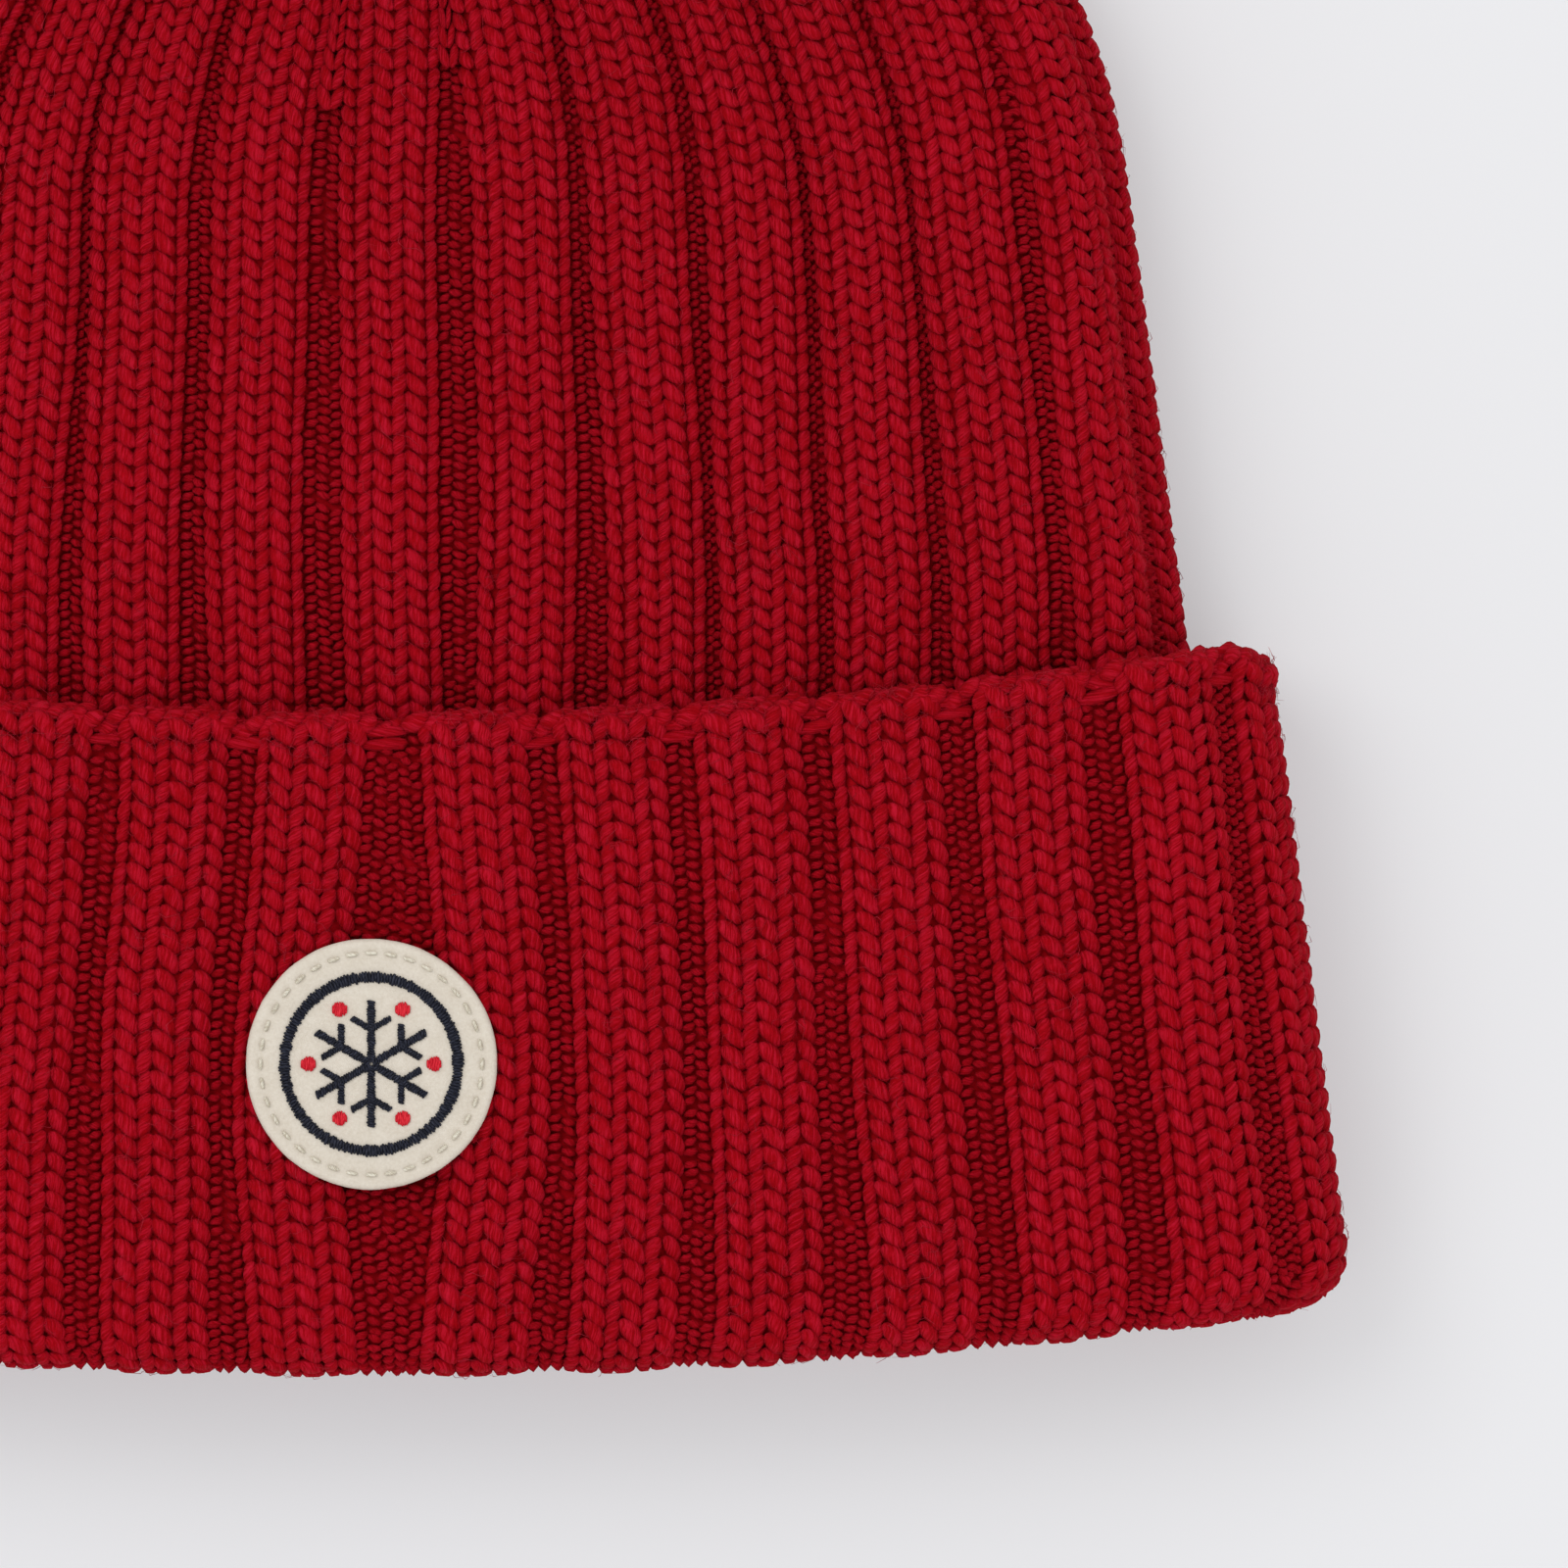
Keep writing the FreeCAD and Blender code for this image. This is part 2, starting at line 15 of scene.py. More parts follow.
import bpy
import numpy as np
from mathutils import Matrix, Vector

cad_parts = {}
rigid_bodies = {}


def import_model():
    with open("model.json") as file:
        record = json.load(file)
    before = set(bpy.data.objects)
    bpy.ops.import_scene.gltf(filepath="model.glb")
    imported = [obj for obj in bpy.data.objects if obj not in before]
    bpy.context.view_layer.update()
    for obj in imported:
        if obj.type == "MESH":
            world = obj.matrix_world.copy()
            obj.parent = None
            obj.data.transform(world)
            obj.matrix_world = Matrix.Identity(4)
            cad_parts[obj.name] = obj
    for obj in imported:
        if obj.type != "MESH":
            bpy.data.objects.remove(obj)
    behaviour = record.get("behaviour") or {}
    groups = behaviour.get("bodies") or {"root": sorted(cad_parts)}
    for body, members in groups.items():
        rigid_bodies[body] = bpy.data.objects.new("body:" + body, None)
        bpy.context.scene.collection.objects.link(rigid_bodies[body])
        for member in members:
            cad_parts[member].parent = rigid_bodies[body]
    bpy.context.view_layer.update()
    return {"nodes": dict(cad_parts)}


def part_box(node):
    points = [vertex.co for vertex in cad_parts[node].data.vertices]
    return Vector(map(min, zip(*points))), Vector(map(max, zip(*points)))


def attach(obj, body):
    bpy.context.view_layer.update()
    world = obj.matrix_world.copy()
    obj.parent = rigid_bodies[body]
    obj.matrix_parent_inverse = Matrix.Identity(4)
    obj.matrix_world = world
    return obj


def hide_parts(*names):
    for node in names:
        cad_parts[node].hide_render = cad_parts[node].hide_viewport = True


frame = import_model()

LOG = logging.getLogger("beanie")
MM = 0.001
TURN = 2 * math.pi
SEED = 20
HAT, LABEL, TIE, POMPOM = "hat", "label", "tie", "pompom"
KNIT_RED, TIE_YARN, POMPOM_YARN = "knit_red", "tie_yarn", "pompom_yarn"


class Grain(Enum):
    """The short lengths of yarn and thread that stitches are made of, in the order of their prototypes."""

    LEFT_LEG = 0
    RIGHT_LEG = 1
    PURL_BUMP = 2
    EDGE_ROLL = 3
    FIBRE = 4
    TUFT = 5
    THREAD = 6


# ---------------------------------------------------------------- small helpers


def corners(node: str) -> np.ndarray:
    """Lowest and highest corner of a node's box, in millimetres."""
    return np.array(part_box(node)) / MM


def smooth_step(value: np.ndarray, start: float, end: float) -> np.ndarray:
    """A smooth rise from 0 at start to 1 at end."""
    share = np.clip((np.asarray(value, float) - start) / (end - start), 0.0, 1.0)
    return share * share * (3 - 2 * share)


def circle(radius: float, angles: np.ndarray) -> np.ndarray:
    """Points of a level circle at these angles."""
    return np.stack([radius * np.cos(angles), radius * np.sin(angles), 0 * angles], axis=-1)


def unit(vectors: np.ndarray) -> np.ndarray:
    """Vectors of length one in the same directions."""
    return vectors / np.maximum(np.linalg.norm(vectors, axis=-1, keepdims=True), 1e-9)


def add_object(name: str, mesh: bpy.types.Mesh) -> bpy.types.Object:
    """Links a mesh to the scene as a new object at the origin."""
    piece = bpy.data.objects.new(name, mesh)
    bpy.context.scene.collection.objects.link(piece)
    return piece


def mesh_from(
    name: str,
    points: np.ndarray,
    faces: list,
    uvs: list | None = None,
    finish: "YarnFinish | ClothFinish | None" = None,
) -> bpy.types.Object:
    """Makes a smooth-shaded mesh object.

    Args:
        name: the object's name.
        points: vertices in millimetres, one row each.
        faces: tuples of vertex numbers, counter-clockwise seen from outside.
        uvs: one (u, v) for each corner of each face, in order.
        finish: the finish of every face.

    Returns:
        The new object.
    """
    mesh = bpy.data.meshes.new(name)
    mesh.from_pydata((np.asarray(points, float) * MM).tolist(), [], faces)
    if uvs is not None:
        layer = mesh.uv_layers.new(name="yarn")
        layer.data.foreach_set("uv", np.asarray(uvs, np.float32).ravel())
    mesh.validate()
    mesh.polygons.foreach_set("use_smooth", [True] * len(mesh.polygons))
    if finish:
        mesh.materials.append(finish.build())
    return add_object(name, mesh)


def grid_faces(rows: int, columns: int, wrap: bool, flip: bool = False, start: int = 0) -> list:
    """Quads of a grid of points stored row by row.

    Args:
        rows: number of rows of points.
        columns: number of points in a row.
        wrap: joins the last column to the first.
        flip: turns the faces over.
        start: number of the first point.

    Returns:
        The quads, facing along (column direction) x (row direction).
    """
    faces = []
    for row in range(rows - 1):
        for column in range(columns if wrap else columns - 1):
            after = (column + 1) % columns
            low, high = start + row * columns, start + (row + 1) * columns
            quad = (low + column, low + after, high + after, high + column)
            faces.append(quad[::-1] if flip else quad)
    return faces


def round_solid_faces(rings: int, sides: int, flip: bool) -> list:
    """Faces of a solid of stacked rings of points, closed by its first and its last point.

    Args:
        rings: number of rings between the two points.
        sides: number of points in a ring.
        flip: turns the faces over, for rings that go down and not up.

    Returns:
        The quads between the rings, and the triangles at both ends.
    """
    faces = grid_faces(rings, sides, True, flip, 1)
    last = 1 + rings * sides
    for side in range(sides):
        after = (side + 1) % sides
        near, far = (side, after) if flip else (after, side)
        faces.append((0, 1 + near, 1 + far))
        faces.append((last, last - sides + far, last - sides + near))
    return faces


# ---------------------------------------------------------------- shader building


class ShaderBuilder:
    """Builds the nodes of one material or shader group."""

    def __init__(self, tree: bpy.types.NodeTree) -> None:
        """Keeps the tree that the nodes go into."""
        self.tree = tree

    def node(self, kind: str, inputs: dict | None = None, **settings: object) -> bpy.types.Node:
        """Adds a node.

        Args:
            kind: the node's type.
            inputs: for each input socket, a value or an output socket to link.
            settings: properties of the node.

        Returns:
            The node.
        """
        made = self.tree.nodes.new(kind)
        for key, value in settings.items():
            setattr(made, key, value)
        self.fill(made, inputs or {})
        return made

    def fill(self, made: bpy.types.Node, inputs: dict) -> None:
        """Gives a node's inputs their values, or links them to output sockets."""
        for key, value in inputs.items():
            if isinstance(value, bpy.types.NodeSocket):
                self.tree.links.new(value, made.inputs[key])
            else:
                made.inputs[key].default_value = value

    def math(self, operation: str, first: object, second: object = 0.0) -> bpy.types.NodeSocket:
        """A Math node's result."""
        return self.node("ShaderNodeMath", {0: first, 1: second}, operation=operation).outputs[0]

    def mix(self, factor: object, first: object, second: object) -> bpy.types.NodeSocket:
        """A mix of two colours."""
        made = self.node("ShaderNodeMix", {0: factor, 6: first, 7: second}, data_type="RGBA")
        return made.outputs[2]

    def noise(self, place: object, scale: float, detail: float, rough: float = 0.5) -> bpy.types.NodeSocket:
        """The value of a noise texture."""
        inputs = {"Vector": place, "Scale": scale, "Detail": detail, "Roughness": rough}
        return self.node("ShaderNodeTexNoise", inputs).outputs["Fac"]

    def bump(self, strength: object, distance: float, height: object) -> bpy.types.NodeSocket:
        """A normal bent by a height."""
        inputs = {"Strength": strength, "Distance": distance, "Height": height}
        return self.node("ShaderNodeBump", inputs).outputs[0]

    def range(
        self, value: object, low: float, high: float, to_low: float, to_high: float
    ) -> bpy.types.NodeSocket:
        """A value moved from one range to another, and kept inside it."""
        inputs = {"Value": value, "From Min": low, "From Max": high, "To Min": to_low, "To Max": to_high}
        return self.node("ShaderNodeMapRange", inputs).outputs["Result"]


def new_group(name: str, inputs: dict, outputs: dict) -> tuple:
    """Starts a shader group.

    Args:
        name: the group's name.
        inputs: name of each input and its value, a number or a colour.
        outputs: name of each output and its socket type.

    Returns:
        The group, its builder, its input node and its output node.
    """
    group = bpy.data.node_groups.new(name, "ShaderNodeTree")
    for label, value in inputs.items():
        kind = "NodeSocketFloat" if isinstance(value, float) else "NodeSocketColor"
        group.interface.new_socket(label, in_out="INPUT", socket_type=kind).default_value = value
    for label, kind in outputs.items():
        group.interface.new_socket(label, in_out="OUTPUT", socket_type=kind)
    build = ShaderBuilder(group)
    return group, build, build.node("NodeGroupInput"), build.node("NodeGroupOutput")


def yarn_group() -> bpy.types.NodeTree:
    """Fibres that wind along a strand, read from the strand's own UV map, with a tint for each stitch. The
    lightest tone is a painted highlight on the raised fibres and the deepest tone is painted shade in the
    hollows between them, laid over the fibres' own uneven tone.
    """
    name = "Spun fibres"
    if name in bpy.data.node_groups:
        return bpy.data.node_groups[name]
    colours = {"Deep": (0, 0, 0, 1), "Body": (0, 0, 0, 1), "Light": (0, 0, 0, 1)}
    numbers = {"Fibres": 9.0, "Twist": 0.6, "Depth": 0.5}
    outputs = {"Color": "NodeSocketColor", "Normal": "NodeSocketVector", "Roughness": "NodeSocketFloat"}
    group, build, given, out = new_group(name, {**colours, **numbers}, outputs)
    uv = build.node("ShaderNodeUVMap", uv_map="yarn").outputs[0]
    split = build.node("ShaderNodeSeparateXYZ", {0: uv})
    tint = build.node("ShaderNodeAttribute", attribute_name="tint").outputs["Fac"]
    winding = build.math("MULTIPLY", split.outputs[1], given.outputs["Twist"])
    twisted = build.math("ADD", split.outputs[0], winding)
    around = build.math("MULTIPLY", twisted, given.outputs["Fibres"])
    along = build.math("MULTIPLY", split.outputs[1], 1.3)
    place = build.node("ShaderNodeCombineXYZ", {0: around, 1: along, 2: build.math("MULTIPLY", tint, 37.0)})
    fibres = build.noise(place.outputs[0], 1.6, 3.0, 0.65)
    spot = build.node("ShaderNodeTexCoord").outputs["Object"]
    patchy = build.noise(spot, 45.0, 2.0)
    fluff = build.noise(spot, 2600.0, 2.0)
    # painted highlight: the lightest tone goes where the fibres stand highest in the bump
    light = build.range(build.math("ADD", fibres, build.math("MULTIPLY", tint, 0.04)), 0.47, 0.68, 0.0, 1.0)
    # painted shade: the deepest tone goes where the fibres lie low, broken up by patchy noise
    dark = build.range(build.math("ADD", fibres, build.math("MULTIPLY", patchy, 0.2)), 0.46, 0.60, 1.0, 0.0)
    colour = build.mix(light, given.outputs["Body"], given.outputs["Light"])
    colour = build.mix(build.math("MULTIPLY", dark, 0.75), colour, given.outputs["Deep"])
    height = build.math("ADD", fibres, build.math("MULTIPLY", fluff, 0.35))
    normal = build.bump(given.outputs["Depth"], 0.0005, height)
    rough = build.range(fibres, 0.3, 0.7, 0.95, 0.78)
    build.fill(out, {"Color": colour, "Normal": normal, "Roughness": rough})
    return group


@dataclass(frozen=True)
class YarnFinish:
    """Wool or thread: three tones of one colour, wound fibres and a soft sheen. The light tone is partly a
    painted highlight on the raised fibres, and the deep tone is partly painted shade between them.
    """

    name: str
    deep: tuple
    body: tuple
    light: tuple
    fibres: float = 13.0
    twist: float = 0.6
    depth: float = 0.8
    sheen: float = 0.03
    roughness: float | None = None
    gloss: float = 0.05

    def build(self) -> bpy.types.Material:
        """Makes the material, or finds it if it is there."""
        if self.name in bpy.data.materials:
            return bpy.data.materials[self.name]
        material, build, surface = new_material(self.name)
        inputs = {
            "Deep": (*self.deep, 1),
            "Body": (*self.body, 1),
            "Light": (*self.light, 1),
            "Fibres": self.fibres,
            "Twist": self.twist,
            "Depth": self.depth,
        }
        yarn = build.node("ShaderNodeGroup", inputs, node_tree=yarn_group())
        looks = {
            "Base Color": yarn.outputs["Color"],
            "Normal": yarn.outputs["Normal"],
            "Roughness": yarn.outputs["Roughness"] if self.roughness is None else self.roughness,
            "Sheen Weight": self.sheen,
            "Sheen Roughness": 0.5,
            "Sheen Tint": (*[min(1.0, 0.1 + tone) for tone in self.light], 1),
            "Specular IOR Level": self.gloss,
        }
        build.fill(surface, looks)
        return material


def new_material(name: str) -> tuple:
    """An empty material with a Principled surface.

    Args:
        name: the material's name.

    Returns:
        The material, its builder and its Principled node.
    """
    material = bpy.data.materials.new(name)
    material.use_nodes = True
    material.node_tree.nodes.clear()
    build = ShaderBuilder(material.node_tree)
    surface = build.node("ShaderNodeBsdfPrincipled")
    output = build.node("ShaderNodeOutputMaterial")
    material.node_tree.links.new(surface.outputs[0], output.inputs[0])
    return material, build, surface


@dataclass(frozen=True)
class ClothFinish:
    """A dense cloth, felt or ribbon, with fine fibres or a weave from its own place on the piece."""

    name: str
    dark: tuple
    light: tuple
    scale: float
    stretch: tuple = (1.0, 1.0, 1.0)
    depth: float = 0.4
    distance: float = 0.0002
    roughness: float = 0.95
    sheen: float = 0.02

    def build(self) -> bpy.types.Material:
        """Makes the material, or finds it if it is there."""
        if self.name in bpy.data.materials:
            return bpy.data.materials[self.name]
        material, build, surface = new_material(self.name)
        spot = build.node("ShaderNodeTexCoord").outputs["Object"]
        place = build.node("ShaderNodeMapping", {"Vector": spot, "Scale": self.stretch}).outputs[0]
        fine = build.noise(place, self.scale, 4.0, 0.7)
        broad = build.noise(place, self.scale / 7, 2.0)
        tone = build.math("ADD", build.math("MULTIPLY", fine, 0.7), build.math("MULTIPLY", broad, 0.3))
        colour = build.mix(build.range(tone, 0.36, 0.62, 0.0, 1.0), (*self.dark, 1), (*self.light, 1))
        looks = {
            "Base Color": colour,
            "Normal": build.bump(self.depth, self.distance, fine),
            "Roughness": build.range(fine, 0.3, 0.7, self.roughness, self.roughness - 0.12),
            "Sheen Weight": self.sheen,
            "Sheen Roughness": 0.6,
            "Specular IOR Level": 0.08,
        }
        build.fill(surface, looks)
        return material


@dataclass(frozen=True)
class Palette:
    """Every finish of the hat."""

    wool: YarnFinish = YarnFinish(
        "Red wool",
        deep=(0.25, 0.0003, 0.0026),
        body=(0.33, 0.0006, 0.0047),
        light=(0.47, 0.006, 0.023),
    )
    # the grooves' copy of the wool: its deep tone is a little darker, as painted shade in the grooves
    shaded_wool: YarnFinish = YarnFinish(
        "Red wool in the grooves",
        deep=(0.23, 0.0003, 0.0024),
        body=(0.33, 0.0005, 0.0044),
        light=(0.48, 0.005, 0.02),
    )
    loose: YarnFinish = YarnFinish(
        "Loose red fibres",
        deep=(0.34, 0.002, 0.008),
        body=(0.52, 0.012, 0.03),
        light=(0.70, 0.06, 0.09),
    )
    # lighter than the stitches' wool, as painted light where it shows in the shaded gaps between stitches
    # and tufts
    ground: ClothFinish = ClothFinish(
        "Red wool behind the stitches", dark=(0.36, 0.0005, 0.004), light=(0.52, 0.001, 0.008), scale=900.0
    )
    tie: ClothFinish = ClothFinish(
        "Red wool of the tie", dark=(0.22, 0.0014, 0.006), light=(0.42, 0.005, 0.016), scale=1600.0
    )
    felt: ClothFinish = ClothFinish(
        "Cream felt", dark=(0.58, 0.515, 0.425), light=(0.66, 0.60, 0.51), scale=2400.0, depth=0.4
    )
    ribbon: ClothFinish = ClothFinish(
        "White satin ribbon",
        dark=(0.70, 0.68, 0.64),
        light=(0.86, 0.85, 0.81),
        scale=1400.0,
        stretch=(0.15, 1.0, 1.0),
        depth=0.35,
        distance=0.0001,
        roughness=0.5,
        sheen=0.1,
    )
    navy: YarnFinish = YarnFinish(
        "Navy embroidery thread",
        deep=(0.002, 0.002, 0.004),
        body=(0.007, 0.008, 0.016),
        light=(0.03, 0.033, 0.052),
        fibres=5.0,
        twist=0.3,
        depth=0.4,
        sheen=0.03,
        roughness=0.5,
        gloss=0.16,
    )
    red_thread: YarnFinish = YarnFinish(
        "Red embroidery thread",
        deep=(0.36, 0.003, 0.010),
        body=(0.60, 0.008, 0.022),
        light=(0.76, 0.04, 0.055),
        fibres=5.0,
        twist=0.3,
        depth=0.4,
        sheen=0.03,
        roughness=0.5,
        gloss=0.12,
    )
    cream_thread: YarnFinish = YarnFinish(
        "Cream sewing thread",
        deep=(0.40, 0.34, 0.24),
        body=(0.66, 0.60, 0.48),
        light=(0.80, 0.76, 0.64),
        fibres=6.0,
        twist=1.2,
        depth=0.5,
        sheen=0.1,
        roughness=0.7,
    )


# ---------------------------------------------------------------- yarn grains


@dataclass(frozen=True)
class GrainShape:
    """One short, plump length of yarn: a closed tube that lies across a stitch.

    It is as long, wide and high as given, leans by an angle from the wale, arches up in its middle, curls
    aside, and its upper end may sink below the lower one. A fuller grain has blunter ends.
    """

    long: float
    wide: float
    high: float
    lean: float = 0.0
    arch: float = 0.0
    sink: float = 0.0
    curl: float = 0.0
    sides: int = 6
    rings: tuple = (-0.86, -0.46, 0.0, 0.46, 0.86)
    fullness: float = 2.6
    taper: float = 0.0

    def build(self, name: str) -> bpy.types.Object:
        """Makes the grain as an object that stitches are copied from.

        Args:
            name: the object's name.

        Returns:
            The object, in millimetres, so that a stitch's size is a plain factor.
        """
        lean = math.radians(self.lean)
        points, faces, uvs = [self.middle(-1.0, lean)], [], []
        for ring in self.rings:
            width = (1 - abs(ring) ** self.fullness) ** 0.5 * (1 - self.taper * (ring + 1) / 2)
            for side in range(self.sides):
                angle = TURN * side / self.sides
                across = math.cos(angle) * self.wide / 2 * width
                up = math.sin(angle) * self.high / 2 * width
                x, y, z = self.middle(ring, lean)
                points.append((x + across * math.cos(lean), y + across * math.sin(lean), z + up))
        points.append(self.middle(1.0, lean))
        last = len(points) - 1
        for side in range(self.sides):
            after = (side + 1) % self.sides
            u, v = side / self.sides, (side + 1) / self.sides
            faces.append((0, 1 + after, 1 + side))
            uvs += [(u, 0.0), (v, 0.07), (u, 0.07)]
            for ring in range(len(self.rings) - 1):
                low, high = 1 + ring * self.sides, 1 + (ring + 1) * self.sides
                faces.append((low + side, low + after, high + after, high + side))
                bottom, top = (self.rings[ring] + 1) / 2, (self.rings[ring + 1] + 1) / 2
                uvs += [(u, bottom), (v, bottom), (v, top), (u, top)]
            top_ring = last - self.sides
            faces.append((last, top_ring + side, top_ring + after))
            uvs += [(u, 1.0), (u, 0.93), (v, 0.93)]
        return mesh_from(name, np.array(points) / MM, faces, uvs)

    def middle(self, share: float, lean: float) -> tuple:
        """The strand's middle at a share from -1, its lower end, to 1."""
        along = share * self.long / 2
        bow = self.curl * (share * share - 0.33)
        return (
            -along * math.sin(lean) + bow * math.cos(lean),
            along * math.cos(lean) + bow * math.sin(lean),
            self.arch * (1 - share * share) - self.sink * share,
        )


GRAIN_SHAPES = {
    Grain.LEFT_LEG: GrainShape(4.0, 2.12, 1.7, lean=38.0, arch=0.35, sink=0.36, curl=0.15),
    Grain.RIGHT_LEG: GrainShape(3.5, 1.82, 1.6, lean=-17.0, arch=0.35, sink=0.36, curl=-0.12),
    Grain.PURL_BUMP: GrainShape(
        1.8, 1.2, 1.5, lean=-60.0, arch=0.55, sides=5, rings=(-0.86, 0.0, 0.86)
    ),
    Grain.EDGE_ROLL: GrainShape(4.3, 2.7, 2.6, lean=-62.0, arch=0.35, curl=0.3),
    Grain.FIBRE: GrainShape(3.2, 0.085, 0.085, arch=0.7, curl=0.6, sides=3, rings=(-0.9, 0.0, 0.9)),
    Grain.TUFT: GrainShape(
        15.0, 2.35, 2.35, curl=0.9, sides=5, rings=(-0.95, 0.2, 0.75, 0.95), fullness=7.0, taper=-0.35
    ),
    Grain.THREAD: GrainShape(1.0, 1.0, 1.0, arch=0.3, rings=(-0.9, -0.6, 0.0, 0.6, 0.9), fullness=4.0),
}


class GrainLibrary:
    """The grains' prototypes, in a collection that is taken away when the hat is done."""

    def __init__(self) -> None:
        """Makes every prototype, named so that the collection keeps their order."""
        self.store = bpy.data.collections.new("Grain prototypes")
        for kind, shape in GRAIN_SHAPES.items():
            made = shape.build(f"grain_{kind.value}_{kind.name.lower()}")
            bpy.context.scene.collection.objects.unlink(made)
            self.store.objects.link(made)

    def clear(self) -> None:
        """Removes the prototypes."""
        for made in list(self.store.objects):
            bpy.data.objects.remove(made)
        bpy.data.collections.remove(self.store)


def stitch_tree() -> bpy.types.NodeTree:
    """The Geometry Nodes tree that sets a grain on each point of a cloud."""
    name = "Set stitches"
    if name in bpy.data.node_groups:
        return bpy.data.node_groups[name]
    tree = bpy.data.node_groups.new(name, "GeometryNodeTree")
    sockets = {
        "Geometry": "NodeSocketGeometry",
        "Grains": "NodeSocketCollection",
        "Unit": "NodeSocketFloat",
        "Loose Angle": "NodeSocketFloat",
        "Loose Size": "NodeSocketFloat",
        "Seed": "NodeSocketInt",
        "Material": "NodeSocketMaterial",
    }
    for label, kind in sockets.items():
        tree.interface.new_socket(label, in_out="INPUT", socket_type=kind)
    tree.interface.new_socket("Geometry", in_out="OUTPUT", socket_type="NodeSocketGeometry")
    build = ShaderBuilder(tree)
    given, out = build.node("NodeGroupInput"), build.node("NodeGroupOutput")

    def attribute(label: str, kind: str) -> bpy.types.NodeSocket:
        """The value of a named attribute."""
        made = build.node("GeometryNodeInputNamedAttribute", {"Name": label}, data_type=kind)
        return made.outputs["Attribute"]

    def random(kind: str, low: object, high: object, offset: int) -> bpy.types.NodeSocket:
        """A seeded random value for each point."""
        seed = build.math("ADD", given.outputs["Seed"], float(offset))
        first, result = (0, 0) if kind == "FLOAT_VECTOR" else (2, 1)
        inputs = {first: low, first + 1: high, "Seed": seed}
        return build.node("FunctionNodeRandomValue", inputs, data_type=kind).outputs[result]

    grains = build.node(
        "GeometryNodeCollectionInfo",
        {"Collection": given.outputs["Grains"], "Separate Children": True, "Reset Children": True},
    ).outputs[0]
    angle = given.outputs["Loose Angle"]
    spread = build.node("ShaderNodeCombineXYZ", {0: angle, 1: angle, 2: angle}).outputs[0]
    back = build.node("ShaderNodeVectorMath", {0: spread, "Scale": -1.0}, operation="SCALE").outputs[0]
    angles = random("FLOAT_VECTOR", back, spread, 1)
    wobble = build.node("FunctionNodeEulerToRotation", {0: angles}).outputs[0]
    turn = build.node("FunctionNodeEulerToRotation", {0: attribute("turn", "FLOAT_VECTOR")}).outputs[0]
    turned = build.node(
        "FunctionNodeRotateRotation", {0: turn, 1: wobble}, rotation_space="LOCAL"
    ).outputs[0]
    smaller = build.math("MULTIPLY", given.outputs["Loose Size"], -1.0)
    loose = build.math("ADD", 1.0, random("FLOAT", smaller, given.outputs["Loose Size"], 2))
    scaled = build.math("MULTIPLY", loose, given.outputs["Unit"])
    size = build.node(
        "ShaderNodeVectorMath", {0: attribute("size", "FLOAT_VECTOR"), "Scale": scaled}, operation="SCALE"
    ).outputs[0]
    placed = build.node(
        "GeometryNodeInstanceOnPoints",
        {
            "Points": given.outputs["Geometry"],
            "Instance": grains,
            "Pick Instance": True,
            "Instance Index": attribute("kind", "INT"),
            "Rotation": turned,
            "Scale": size,
        },
    ).outputs[0]
    tinted = build.node(
        "GeometryNodeStoreNamedAttribute",
        {"Geometry": placed, "Name": "tint", "Value": random("FLOAT", 0.0, 1.0, 3)},
        data_type="FLOAT",
        domain="INSTANCE",
    ).outputs[0]
    real = build.node("GeometryNodeRealizeInstances", {0: tinted}).outputs[0]
    dressed = build.node(
        "GeometryNodeSetMaterial", {"Geometry": real, "Material": given.outputs["Material"]}
    ).outputs[0]
    tree.links.new(dressed, out.inputs[0])
    return tree


